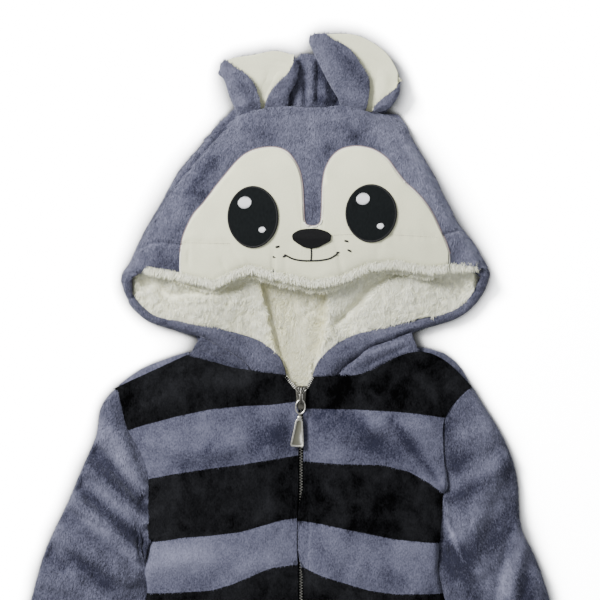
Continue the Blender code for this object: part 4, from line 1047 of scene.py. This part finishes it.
def make_sherpa():
    """Cream fleece, paler at the tips of its pile, darker where painted shade is given."""
    material, tree, shader = new_material("sherpa", 0.95, 0.15, level=0.1)
    pile = use_group(tree, curl_group, Tip=(*SHERPA_TIP, 1), Base=(*SHERPA_SHADED_BASE, 1),
                     Depth=attribute(tree, "depth"))
    tree.links.new(pile.outputs["Colour"], shader.inputs["Base Color"])
    raise_by(tree, shader, pile.outputs["Height"], 1.0, 0.6)
    shader.inputs["Subsurface Weight"].default_value = 0.35
    shader.inputs["Subsurface Radius"].default_value = (1.0, 1.0, 0.8)
    shader.inputs["Subsurface Scale"].default_value = 3.0 * MM
    return material


def turn_under(piece, line, reach, drop):
    """Bends a panel down along its edge, as cloth turns in at a hem."""
    spots = points_of(piece)
    share = np.clip(1 - np.abs(side_of(spots, line)) / reach, 0, 1) ** 2
    spots[:, 2] -= drop * share
    put_points(piece, spots)


def surface_of(*pieces):
    """A search tree over pieces, in pattern millimetres."""
    corners, faces = [], []
    for piece in pieces:
        faces += [[k + len(corners) for k in face.vertices] for face in piece.data.polygons]
        corners += points_of(piece).tolist()
    return BVHTree.FromPolygons(corners, faces)


ROLL = 0.65                     # a strand is turned about its own length by up to this, in radians
ROOT_DEPTH = 0.2                # and starts this far inside the cloth
COVER_GAP = 0.4                 # cloth this little above a root doesn't cover it
COAT_END, COAT_FADE = -330.0, 70.0      # the strands end below the chest, where the legs run on


def strands(name, roots, lies, ups, lengths, widths, rises, rng):
    """Single flat tapered strands of pile as one mesh, each rolled a little its own way."""
    lies = lies - ups * (lies * ups).sum(1)[:, None]
    lies /= np.linalg.norm(lies, axis=1)[:, None] + 1e-9
    roll = rng.uniform(-ROLL, ROLL, len(roots))[:, None]
    half = (np.cross(ups, lies) * np.cos(roll) + ups * np.sin(roll)) * np.asarray(widths)[:, None] / 2
    tips = roots + lies * np.asarray(lengths)[:, None] + ups * np.asarray(rises)[:, None]
    spots = np.stack([roots - half, roots + half, tips], axis=1).reshape(-1, 3)
    spots[:, 2] = np.maximum(spots[:, 2], 0)
    mesh = bpy.data.meshes.new(name)
    mesh.from_pydata(((spots + np.array(NECK_POINT)) * MM).tolist(), [],
                     np.arange(len(spots)).reshape(-1, 3).tolist())
    return mesh


def grown(name, piece, count, lying, size, layers, over, seed):
    """A coat of short strands on a piece, where nothing lies over it.

    lying gives the way the strands lie in plan at each root. size is their shortest and longest
    length, their width and how far a tip stands off. layers are the values that the strands take
    from the piece, each with its random change and its change at the tip.
    """
    rng = np.random.default_rng(seed)
    piece.data.calc_loop_triangles()
    corners = np.empty(len(piece.data.loop_triangles) * 3, np.int32)
    piece.data.loop_triangles.foreach_get("vertices", corners)
    corners = corners.reshape(-1, 3)
    faces = points_of(piece)[corners]
    outward = np.cross(faces[:, 1] - faces[:, 0], faces[:, 2] - faces[:, 0])
    area = np.linalg.norm(outward, axis=1) + 1e-9
    outward /= area[:, None]
    in_sight = np.clip((faces[:, :, 1].mean(1) - COAT_END) / COAT_FADE, 0, 1) * (outward[:, 2] > -0.1)
    chosen = rng.choice(len(faces), count, p=area * in_sight / (area * in_sight).sum())
    mix = rng.dirichlet((1, 1, 1), count)
    roots, ups = np.einsum("nk,nkj->nj", mix, faces[chosen]), outward[chosen]
    starts = (roots + ups + (0, 0, COVER_GAP)).tolist()
    free = np.array([over.ray_cast(start, (0, 0, 1))[0] is None for start in starts])
    roots, ups, chosen, mix = (part[free] for part in (roots, ups, chosen, mix))
    short, long, width, rise = size
    lies = np.column_stack([lying(roots, rng), np.zeros(len(roots))])
    count = len(roots)
    mesh = strands(name, roots - ROOT_DEPTH * ups, lies, ups, rng.uniform(short, long, count),
                   rng.uniform(0.7, 1.3, count) * width, rng.uniform(0.2, 1.0, count) * rise, rng)
    coat = finished(name, mesh, piece.data.materials[0], slots[piece.name])
    for layer, (tone, tip) in layers.items():
        held = np.empty(len(piece.data.vertices), np.float32)
        piece.data.attributes[layer].data.foreach_get("value", held)
        value = (mix * held[corners[chosen]]).sum(1) + rng.uniform(-tone, tone, len(roots))
        carry(coat, layer, (value[:, None] + np.array((0, 0, tip))).ravel())
    return coat


def brushed(angle, seed, turn=0.7, size=38):
    """Strands that lie near one direction in plan, in degrees, wandering over the cloth."""
    def lying(roots, rng):
        way = math.radians(angle) + turn * lumps(roots, size, seed) + rng.normal(0, 0.32, len(roots))
        return np.column_stack([np.cos(way), np.sin(way)])
    return lying


sherpa = make_sherpa()
lined = {}
for node, name, seed, drop in (("hood_lining", "hood_lining_fleece", 21, 1.0),
                               ("hood_facing", "hood_facing_fleece", 22, 0.0)):
    piece = cloth(node, name, sherpa, "sherpa")
    spots = points_of(piece)
    left_of, right_of = (side_of(spots, line) for line in THROAT_STEPS)
    past_left, past_right = (np.clip(0.5 + far / STEP_WIDTH, 0, 1) for far in (left_of, -right_of))
    banks = (1 - past_left) * np.exp(-(left_of / BANK_REACH) ** 2)
    banks += (1 - past_right) * np.exp(-(right_of / BANK_REACH) ** 2)
    in_throat = past_left * past_right
    under_edge = np.interp(spots[:, 0], *np.array(OPENING_EDGE, float).T) - spots[:, 1]
    rise = OPENING_RISE * (1 + 0.5 * np.clip(spots[:, 0] / 90, 0, 1))
    rise = rise * np.exp(-(under_edge / OPENING_REACH) ** 2)
    relief = LINING_FULLNESS * folds(spots, LINING_FOLDS) - THROAT_DROP * in_throat
    relief = (relief + STEP_RISE * banks + rise) * drop
    curls = lumps(spots, 9, seed) + 0.7 * lumps(spots, 4.5, seed + 1)
    top = upward(piece, 0.0, 0.3)
    swell(piece, top * (relief + 1.1 * curls - 0.9))
    spots = points_of(piece)
    past_left, past_right = LINING_ENDS[0] - spots[:, 0], spots[:, 0] - LINING_ENDS[1]
    ends = np.clip(past_right / ENDS_FADE, 0, 1) + np.clip(past_left / ENDS_FADE, 0, 1)
    spots[:, 2] -= ends * np.maximum(spots[:, 2] - LINING_FLOOR, 0)
    spots[:, 2] = np.where(top > 0.5, np.maximum(spots[:, 2], LINING_FLOOR), spots[:, 2])
    put_points(piece, spots)
    # Painted shade: the fleece is painted darker over the throat and in a strip beside each step.
    shade = sum(np.exp(-(side_of(spots, line) / SHADE_REACH) ** 2) for line in THROAT_SHADE)
    shade = 0.3 * in_throat + 0.7 * shade
    # Painted light and shade: paler towards the right of the opening, darker in the hollows of folds and
    # curls.
    lit_side = 0.12 * np.clip(spots[:, 0] / 60, -0.3, 1)
    depth = FLEECE_DEPTH + 0.12 * curls + 0.03 * relief - shade * drop + lit_side
    carry(piece, "depth", np.clip(depth, 0, 1))
    lined[node] = piece


# ---- Hood -----------------------------------------------------------------------------------
# The hood's upper layer carries the face. A row of stitches holds it above the opening, so the
# plush is drawn in there; its left side is folded back, and its pile is brushed in streaks, with painted
# shade along its folds and a broad painted sheen down its right side.
FACE_FOLDS = [
    ([(-84, 274), (-92, 266), (-114, 241), (-134, 219), (-153, 197)], 5, 3, -5.0),
    ([(-80, 270), (-89, 262), (-110, 238), (-130, 215), (-149, 194)], 4, 7, 2.2),
    ([(-99, 262), (-113, 246), (-123, 234)], 3, 3, 1.5),
    ([(-184, 138), (-164, 145), (-153, 146), (-132, 143), (-109, 143), (-78, 145)], 2.2, 2.2, -2.0),
    ([(-30, 148), (-26, 149), (-15, 150)], 2.2, 2.2, -1.5),
    ([(30, 156), (52, 156)], 2.2, 2.2, -1.8),
    ([(95, 156), (116, 156), (132, 154), (151, 153), (172, 160)], 2.2, 2.2, -2.0),
    ([(-190, 122), (-180, 112)], 4, 4, -2.0), ([(202, 128), (190, 118)], 4, 4, -2.0),
    ([(16, 200), (14, 175)], 7, 7, -1.0),
    ([(60, 268), (95, 252), (122, 222), (135, 190)], 12, 14, 1.0),
    ([(-60, 268), (-95, 246), (-118, 205), (-140, 160)], 12, 14, 1.0)]
# Brushed streaks of the pile, with painted shade along the folds and a broad painted sheen down the right
# side.
FACE_NAP_AND_SHADE = [
    ([(122, 250), (150, 205), (192, 140)], 26, 1.30), ([(14, 200), (14, 240)], 14, 0.30),
    ([(-150, 190), (-110, 240)], 24, -0.06),
    ([(-121, 200), (-112, 214), (-103, 226), (-94, 236)], 6.5, -0.62), ([(-119, 183), (-108, 198)], 8, -0.35),
    ([(-136, 160), (-128, 168)], 8, -0.3), ([(-153, 127), (-138, 120)], 9, -0.32),
    ([(-150, 202), (-136, 224), (-112, 250)], 5, 0.22), ([(-117, 176), (-112, 190)], 5, 0.3),
    ([(-84, 274), (-92, 265), (-114, 240.5), (-134, 218), (-152, 197)], 2.2, -0.5),
    ([(-164, 141), (-156, 150)], 6, 0.25), ([(50, 272), (56, 262)], 8, -0.4),
    ([(69, 274), (62, 262)], 7, -0.4),
    ([(102, 257), (112, 240)], 8, -0.42), ([(117, 241), (122, 222)], 8, -0.35),
    ([(13, 272), (14, 258)], 7, 0.35),
    ([(41, 249), (50, 244)], 8, -0.3), ([(20, 235), (30, 250)], 8, -0.3), ([(162, 162), (176, 140)], 9, -0.3),
    ([(186, 118), (170, 132)], 9, -0.3), ([(130, 240), (140, 222), (152, 196)], 6, 0.35),
    ([(14, 187), (14, 200)], 6, -0.35), ([(-20, 280), (10, 284), (40, 284)], 6, 0.25),
    ([(-60, 275), (-40, 262)], 8, -0.25), ([(80, 270), (95, 262)], 8, 0.25),
    ([(185, 150), (172, 172)], 7, 0.3)]

HEM_REACH, HEM_DROP = 5.0, 3.2
# The face runs up onto the turned edge at its two lower corners, and down over it.
HOOD_CORNERS = {"left": (-184, 122), "right": (194, 126)}
CORNER_REACH, CORNER_RISE, CORNER_DROP = 18.0, 4.0, 4.0
CORNER_LOW = 14.0               # only what lies below this height over a corner moves down

hood = plush_piece("hood_face", "hood_upper", 11, FACE_FOLDS, FACE_NAP_AND_SHADE, 0.66, fine=0.4)
turn_under(hood, OPENING_EDGE, HEM_REACH, HEM_DROP)
for side, (x, y) in HOOD_CORNERS.items():
    drawn_to(hood, side, HOOD_SIDE[side], CORNER_REACH)
    spots = points_of(hood)
    near = np.exp(-((spots[:, 0] - x) ** 2 + (spots[:, 1] - y) ** 2) / CORNER_REACH ** 2)
    spots[:, 2] += CORNER_RISE * near * upward(hood)
    spots[:, 1] -= CORNER_DROP * near * np.clip((y + CORNER_LOW - spots[:, 1]) / CORNER_LOW, 0, 1)
    put_points(hood, spots)

# The crown is the gathered back of the hood, which shows behind the top seam.
CROWN_FOLDS = [
    ([(19, 342), (18, 304)], 3.5, 2.5, -3.2), ([(3, 322), (4, 297)], 3, 2.2, -2.0),
    ([(-13, 310), (-12, 296)], 2.5, 2.5, -2.0),
    ([(11, 345), (11, 300)], 3, 3, 1.2), ([(28, 335), (26, 300)], 4, 3, 1.6),
    ([(-30, 305), (-24, 296)], 3, 3, -1.4),
    ([(44, 310), (38, 298)], 4, 3, -2.2), ([(60, 303), (56, 296)], 3, 3, -1.2)]
# The crown's brushed pile, with painted shade in its gathers and beside the right ear.
CROWN_NAP_AND_SHADE = [([(22, 335), (38, 300), (19, 302)], 6, -0.5), ([(3, 318), (4, 300)], 3, -0.4),
             ([(10, 340), (12, 310)], 5, 0.3), ([(-110, 262), (-85, 285)], 5, 0.15)]
FACE_SIDE = [(-112, 250), (-100, 262.6), (-92, 268.1), (-71.5, 283.3), (-60, 290)]
# Left of one X the crown is a strip that goes down under the face, and left of another is its tip.
STRIP_START, STRIP_FADE, STRIP_SHIFT = -70.0, 12.0, 1.8
TIP_START, TIP_FADE, TIP_SHIFT = -92.0, 10.0, 2.0
TUCKED_REACH, TUCKED_SHIFT, TUCKED_PRESS = 5.0, 3.5, 0.65

crown = plush_piece("hood_crown", "hood_crown_gathers", 12, CROWN_FOLDS, CROWN_NAP_AND_SHADE, 0.5, 2)
spots = points_of(crown)
strip = np.clip((STRIP_START - spots[:, 0]) / STRIP_FADE, 0, 1)
under_face = strip * np.clip(1 - side_of(spots, FACE_SIDE) / TUCKED_REACH, 0, 1)
tip = np.clip((TIP_START - spots[:, 0]) / TIP_FADE, 0, 1)
inwards = STRIP_SHIFT * strip + TUCKED_SHIFT * under_face + TIP_SHIFT * tip
spots[:, 0] += inwards
spots[:, 1] -= inwards
pressed(spots, TUCKED_PRESS * under_face)
put_points(crown, spots)


# ---- Face -----------------------------------------------------------------------------------
# A two-lobed mask of cream velour is sewn to the hood with a close edge of thread. Eyes of
# black velvet, a satin nose and a stitched smile lie on it, and a few dashes on the cheeks.
VELOUR = (0.82, 0.82, 0.585)
VELVET_DARK, VELVET_LIGHT = (0.0028, 0.0034, 0.0036), (0.0075, 0.0092, 0.0098)
VELVET_SHEEN = (0.8, 0.9, 1.0, 1)
SATIN_DARK, SATIN_LIGHT = (0.0015, 0.0015, 0.002), (0.010, 0.010, 0.011)
THREAD = (0.93, 0.91, 0.83)
SHINE_THREAD = (0.93, 0.93, 0.95)
EDGE_THREAD = (0.30, 0.22, 0.22)
HEM_THREAD = (0.52, 0.48, 0.36)
BLACK_THREAD = (0.007, 0.007, 0.008)
MASK_EDGE = [(-131.5, 113), (-131.5, 124), (-130.5, 136), (-127, 153), (-117, 174), (-105, 188), (-93, 204),
             (-81, 219), (-68, 234), (-57, 242.5), (-44, 247), (-29, 248), (-17, 244), (-9, 235), (-3, 223),
             (0, 208), (1, 190), (1.8, 172), (4, 165), (9, 162), (16, 162), (21.5, 165), (23.6, 172),
             (24.4, 190), (25.2, 210), (28, 225), (35, 238), (45, 246), (58, 249), (70, 248), (81, 244.5),
             (93, 236), (102, 224), (112, 211), (123, 201), (133, 190), (143, 175), (150, 160), (156, 148),
             (161, 134), (162, 121)]
MASK_FOLDS = [
    ([(-31, 132), (-30, 114)], 1.6, 1.6, -2.0), ([(42, 129), (44, 113)], 1.6, 1.6, -1.6),
    ([(-18, 122), (-16, 113)], 2, 2, -1.0), ([(40, 151), (38, 142)], 2, 2, -0.8),
    ([(-87, 124), (-81, 113)], 2.4, 2.4, -1.0),
    ([(-77, 140), (-65, 123)], 2.2, 2.2, -1.0), ([(-123, 134), (-123, 123)], 2, 2, -0.8),
    ([(88, 143), (82, 133)], 2, 2, -0.8),
    ([(-126, 145), (-78, 144)], 1.8, 1.8, -0.9), ([(44, 153), (90, 153.5), (146, 151)], 1.8, 1.8, -0.9),
    ([(-60, 215), (-20, 222)], 14, 14, 0.8), ([(60, 218), (100, 208)], 14, 14, 0.8)]
EYES = {"left": ((-52.4, 173.0), (27.6, 33.6)), "right": ((76.5, 177.0), (28.0, 31.6))}
EYE_SEAM = 0.9                  # the stitches of an eye's edge run this far inside it
SHINE = (((-9.0, 15.5), 7.2), ((10.0, -14.0), 3.6))
SHINE_PITCH = 0.95
SHINE_WIDTH, SHINE_HEIGHT, SHINE_ABOVE, SHINE_LEAN = 1.15, 1.0, 0.3, 0.08
SMILE = [[(11, 141), (11.3, 133), (11, 126.5)],
         [(-17, 131.5), (-9, 127.5), (1, 125.6), (11, 125.4), (21, 125.8), (31, 127.8), (38.5, 132)]]
DASHES = [((-25.6, 140.6), 12), ((-28.6, 129.4), -6), ((-17.8, 130.5), 20), ((49.5, 146.7), -12),
          ((40.7, 134.4), 8), ((52.8, 136.3), -22)]
DASH_GAP = 1.0                  # each dash is two stitches, one above the other
DASH_SIZE, DASH_ABOVE = (5.4, 1.3, 1.0), 0.2
STITCH_FACES = (8, 5)
# Each kind of stitch: its length, width and height, its pitch, its slant in degrees, and how far
# it stands off the cloth.
EYE_STITCH = ((2.6, 1.1, 0.9), 1.0, 68, 0.0)
EDGE_STITCH = ((2.3, 1.5, 1.5), 1.15, 50, 0.3)
OUTLINE_STITCH = ((2.6, 1.0, 1.2), 2.2, 0, 0.7)
HEM_STITCH = ((1.9, 0.7, 0.5), 2.2, 0, 0.0)
SMILE_STITCH = ((3.2, 2.1, 1.4), 1.9, 8, 0.2)
EDGE_OFFSET, OUTLINE_OFFSET = 0.6, 1.9  # the two rows of stitches run this far outside the mask
HEM_SEAMS = [[(-126, 145), (-78, 144)], [(32, 153), (60, 154), (100, 153.5), (148, 151)]]


def make_velour():
    """Close short pile, with a faint grain."""
    material, tree, shader = new_material("velour", 0.9, 0.12, level=0.1)
    grain = speckle(tree, 0.75, 3.0, distortion=0.4)
    cloud = speckle(tree, 0.035)
    tone = sums(tree, "MULTIPLY_ADD", sums(tree, "SUBTRACT", grain, 0.5), 1.3, cloud, clamp=True)
    paint(tree, shader, tone, [0.86 * part for part in VELOUR], VELOUR)
    raise_by(tree, shader, grain, 0.45, 0.6)
    return material


def make_thread(name, colour, sheen=0.1):
    """Twisted thread: a plain colour with fine ribs."""
    material, tree, shader = new_material(name, 0.5, sheen, level=0.3)
    twist = speckle(tree, 1.4)
    paint(tree, shader, twist, [0.7 * part for part in colour], colour)
    raise_by(tree, shader, twist, 0.15, 0.5)
    return material


def spaced(line, shares):
    """The points at these shares of a line's length."""
    line = np.array(line, float)
    reach = np.concatenate([[0], np.cumsum(np.linalg.norm(np.diff(line, axis=0), axis=1))])
    return np.column_stack([np.interp(shares * reach[-1], reach, line[:, k]) for k in (0, 1)])


def smooth_line(points, count):
    """Evenly spaced points on a smooth curve through the given ones."""
    points = np.array(points, float)
    ends = np.vstack([2 * points[0] - points[1], points, 2 * points[-1] - points[-2]])
    fine = []
    for k in range(len(points) - 1):
        a, b, c, d = ends[k:k + 4]
        for t in np.linspace(0, 1, 24, endpoint=False):
            fine.append(0.5 * (2 * b + (c - a) * t + (2 * a - 5 * b + 4 * c - d) * t ** 2
                               + (3 * b - a - 3 * c + d) * t ** 3))
    return spaced(fine + [points[-1]], np.linspace(0, 1, count))


def shifted(line, away):
    """A line moved this far to its left as it runs."""
    line = np.array(line, float)
    run = np.gradient(line, axis=0)
    run /= np.linalg.norm(run, axis=1)[:, None]
    return line + away * np.column_stack([-run[:, 1], run[:, 0]])


def sew(name, line, under, stitch, material, slot):
    """A row of one kind of stitch along a line, lying on what is under it."""
    size, pitch, slant, above = stitch
    length = np.linalg.norm(np.diff(np.array(line, float), axis=0), axis=1).sum()
    spots = smooth_line(line, max(2, int(length / pitch)))
    places = []
    for k, (x, y) in enumerate(spots.tolist()):
        hit, normal = top_of(under, x, y)
        if hit is None:
            continue
        way = spots[min(k + 1, len(spots) - 1)] - spots[max(k - 1, 0)]
        turn = Matrix.Rotation(math.radians(slant), 3, "Z") @ Vector((*way, 0))
        places.append(set_on(hit + normal * above, turn, normal, size))
    scattered(name, bead(*STITCH_FACES), places, material, slot)


def make_velvet():
    """Black velvet with a faint blue gleam."""
    material, tree, shader = new_material("eye_velvet", 0.9, 0.12, VELVET_SHEEN, level=0.08)
    nap = speckle(tree, 0.5, 2.0, (1, 0.5, 1), 0.3)
    paint(tree, shader, nap, VELVET_DARK, VELVET_LIGHT)
    raise_by(tree, shader, nap, 0.4, 0.6)
    return material


def make_satin():
    """Black satin stitch, in fine upright ribs."""
    material, tree, shader = new_material("nose_satin", 0.5)
    rib = ribs(tree, 0.30, 1.2, "X")
    paint(tree, shader, rib, SATIN_DARK, SATIN_LIGHT)
    raise_by(tree, shader, rib, 0.5, 0.8)
    return material


velour = make_velour()
mask = cloth("hood_mask", "face_mask", velour, "velour", 2)
spots = points_of(mask)
swell(mask, upward(mask) * (folds(spots, MASK_FOLDS) + 0.35 * lumps(spots, 18, 31)))
turn_under(mask, OPENING_EDGE, HEM_REACH, HEM_DROP)

velvet = make_velvet()
white_thread = make_thread("white_thread", THREAD)
shine_thread = make_thread("shine_thread", SHINE_THREAD)
edge_thread = make_thread("edge_thread", EDGE_THREAD)
hem_thread = make_thread("hem_thread", HEM_THREAD)
black_thread = make_thread("black_thread", BLACK_THREAD, 0.0)
face_top = surface_of(mask, hood)
for side, (centre, half) in EYES.items():
    eye = cloth("eye_" + side, "eye_" + side + "_velvet", velvet, "eye_velvet", 3, hold=0.5)
    over = surface_of(eye)
    turn = np.linspace(0, 2 * math.pi, 90)
    ring = np.column_stack([centre[0] + (half[0] - EYE_SEAM) * np.cos(turn),
                            centre[1] + (half[1] - EYE_SEAM) * np.sin(turn)])
    sew("eye_" + side + "_edge", ring, over, EYE_STITCH, black_thread, "eye_velvet")
    for k, ((x, y), radius) in enumerate(SHINE):
        places = []
        for row in np.arange(-radius + 0.5, radius, SHINE_PITCH).tolist():
            hit, normal = top_of(over, centre[0] + x + row, centre[1] + y)
            size = (2 * math.sqrt(radius ** 2 - row ** 2), SHINE_WIDTH, SHINE_HEIGHT)
            places.append(set_on(hit + normal * SHINE_ABOVE, (SHINE_LEAN, 1, 0), normal, size))
        scattered(f"eye_{side}_shine_{k}", bead(*STITCH_FACES), places, shine_thread, "nose_thread")

nose = cloth("nose", "nose_satin", make_satin(), "nose_thread", 3, hold=0.4)

sew("mask_edge", shifted(MASK_EDGE, EDGE_OFFSET), face_top, EDGE_STITCH, white_thread, "velour")
outline = shifted(MASK_EDGE, OUTLINE_OFFSET)[2:-1]
sew("mask_outline", outline, face_top, OUTLINE_STITCH, edge_thread, "plush")
for k, line in enumerate(HEM_SEAMS):
    sew(f"hem_seam_{k}", line, face_top, HEM_STITCH, hem_thread, "velour")
for k, line in enumerate(SMILE):
    sew(f"smile_{k}", line, face_top, SMILE_STITCH, black_thread, "nose_thread")
places = []
for (x, y), angle in DASHES:
    hit, normal = top_of(face_top, x, y)
    way = (math.cos(math.radians(angle)), math.sin(math.radians(angle)), 0)
    places += [set_on(hit + normal * DASH_ABOVE + Vector((0, shift, 0)), way, normal, DASH_SIZE)
               for shift in (-DASH_GAP / 2, DASH_GAP / 2)]
scattered("cheek_dashes", bead(*STITCH_FACES), places, black_thread, "nose_thread")


# ---- Ears -----------------------------------------------------------------------------------
# Each ear is plush outside and velour inside, folded over along one side, with the two layers
# turned together at the edge, where the pile stands out as fluff.
EAR_FOLDS = {"left": [([(-26, 343), (-44, 304)], 3, 4, -2.0), ([(-60, 325), (-52, 300)], 4, 4, 1.2)],
             "right": [([(82, 342), (77, 312)], 3, 4, -2.2), ([(95, 330), (88, 305)], 4, 4, 1.0)]}
# The ears' brushed pile, with painted shade and highlight beside their folds.
EAR_NAP_AND_SHADE = {"left": [([(-84, 335), (-66, 300)], 6, 0.25), ([(-70, 325), (-55, 300)], 5, -0.35)],
           "right": [([(43, 355), (70, 319)], 9, -0.55), ([(20, 355), (35, 320)], 6, 0.2)]}

HOOD_TOP = [(-92, 268), (-72, 283), (-40, 294), (0, 297), (40, 294), (70, 289), (100, 284), (112, 270)]
FOOT_REACH, FOOT_DROP, FOOT_PRESS = 9.0, 3.0, 0.35      # an ear's foot goes down behind the hood's top

ears = {}
for side in OUTWARD:
    outer = plush_piece(f"ear_{side}_outer", f"ear_{side}_back", 17, [], EAR_NAP_AND_SHADE[side], 0.78, 2)
    inner = cloth(f"ear_{side}_inner", f"ear_{side}_lining", velour, "velour", 2)
    spots = points_of(inner)
    swell(inner, upward(inner) * (folds(spots, EAR_FOLDS[side]) + 0.5 * lumps(spots, 10, 33)))
    for layer in (outer, inner):
        spots = points_of(layer)
        foot = np.clip(1 - side_of(spots, HOOD_TOP) / FOOT_REACH, 0, 1)
        spots[:, 1] -= FOOT_DROP * foot
        pressed(spots, FOOT_PRESS * foot)
        put_points(layer, spots)
    ears[side] = (outer, inner)


# ---- Pile -----------------------------------------------------------------------------------
# The separate strands of the plush and of the fleece grow last, when everything that covers
# them is in place. Along the opening the fleece stands over the edge as a thick pale fringe.
PLUSH_STRANDS = (3.0, 5.5, 0.95, 1.3)   # shortest, longest, width, and how far a tip stands off
SHORT_STRANDS = (2.4, 4.2, 0.85, 1.0)
SHEARED_STRANDS = (1.3, 2.6, 0.85, 0.7)
FLEECE_STRANDS = (3.5, 7.0, 1.25, 1.1)
# What a strand takes from the cloth, with its random change and its change at the tip.
NAP_AND_SHADE = {"nap": (0.13, 0.07)}
BANDED = {"nap": (0.13, 0.06), "band": (0.0, 0.0)}
FLEECE = {"depth": (0.30, 0.25)}
# Each piece, how many strands it takes, the way they lie in degrees and their size.
COATS = [(hood, 46000, -95, PLUSH_STRANDS, NAP_AND_SHADE), (crown, 6000, 90, SHORT_STRANDS, NAP_AND_SHADE)]
for side, slant in (("left", -112), ("right", -68)):
    COATS += [(sleeves[side], 30000, slant, PLUSH_STRANDS, NAP_AND_SHADE),
              (fronts[side], 42000, -92, SHEARED_STRANDS, BANDED),
              (rims[side], 9000, slant, SHORT_STRANDS, NAP_AND_SHADE),
              (collars[side], 4000, slant, SHORT_STRANDS, NAP_AND_SHADE),
              (ears[side][0], 9000, 80, SHORT_STRANDS, NAP_AND_SHADE)]

laid_over = surface_of(hood, crown, mask, *fronts.values(), *sleeves.values(), *rims.values(),
                       *collars.values(), *ears["left"], *ears["right"])
for seed, (piece, count, angle, size, layers) in enumerate(COATS):
    grown(piece.name + "_pile", piece, count, brushed(angle, seed), size, layers, laid_over, seed)

for node, count, seed in (("hood_lining", 68000, 41), ("hood_facing", 14000, 42)):
    grown(node + "_pile", lined[node], count, brushed(-105, seed, 1.9, 15),
                        FLEECE_STRANDS, FLEECE, laid_over, seed)

FRINGE_COUNT = 9000
FRINGE_SPAN = (-170.0, 193.0)
FRINGE_UP = 0.30                # this share of it curls up over the edge, and the rest hangs down
FRINGE_SWAY = 90                # so many tufts of it along the edge lean together
FRINGE_ROOT = 6.0               # its height is read this far inside the edge
rng = np.random.default_rng(7)
spots = spaced(OPENING_EDGE, np.sort(rng.uniform(0, 1, FRINGE_COUNT)))
spots = spots[(spots[:, 0] > FRINGE_SPAN[0]) & (spots[:, 0] < FRINGE_SPAN[1])]
count = len(spots)
face_over = surface_of(hood, mask)
heights = np.array([top_of(face_over, x, y + FRINGE_ROOT)[0].z for x, y in spots.tolist()])
over = rng.uniform(0, 1, count) < FRINGE_UP
roots = np.column_stack([spots[:, 0], spots[:, 1] + np.where(over, 0.5, 1.0) + rng.normal(0, 0.8, count),
                         heights - rng.uniform(0.4, 3.0, count)])
sway = rng.uniform(-1, 1, FRINGE_SWAY)
lean = np.interp(roots[:, 0], np.linspace(-200, 200, FRINGE_SWAY), sway)
lies = np.column_stack([lean * 0.6 + rng.normal(0, 0.3, count), np.where(over, 0.6, -1.0), np.zeros(count)])
lengths = np.where(over, rng.uniform(2.0, 4.5, count), rng.uniform(4, 9.5, count))
widths = rng.uniform(1.0, 1.9, count)
rises = np.where(over, 1.0, rng.uniform(-0.8, 1.2, count))
mesh = strands("hood_edge_fringe", roots, lies, np.tile((0.0, 0.0, 1.0), (count, 1)), lengths, widths,
               rises, rng)
fringe = finished("hood_edge_fringe", mesh, sherpa, "sherpa")
carry(fringe, "depth", np.tile((0.75, 0.75, 1.0), count))

size = {"cad": [list(corner) for corner in cad_box], "scene": [list(corner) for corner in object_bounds()]}
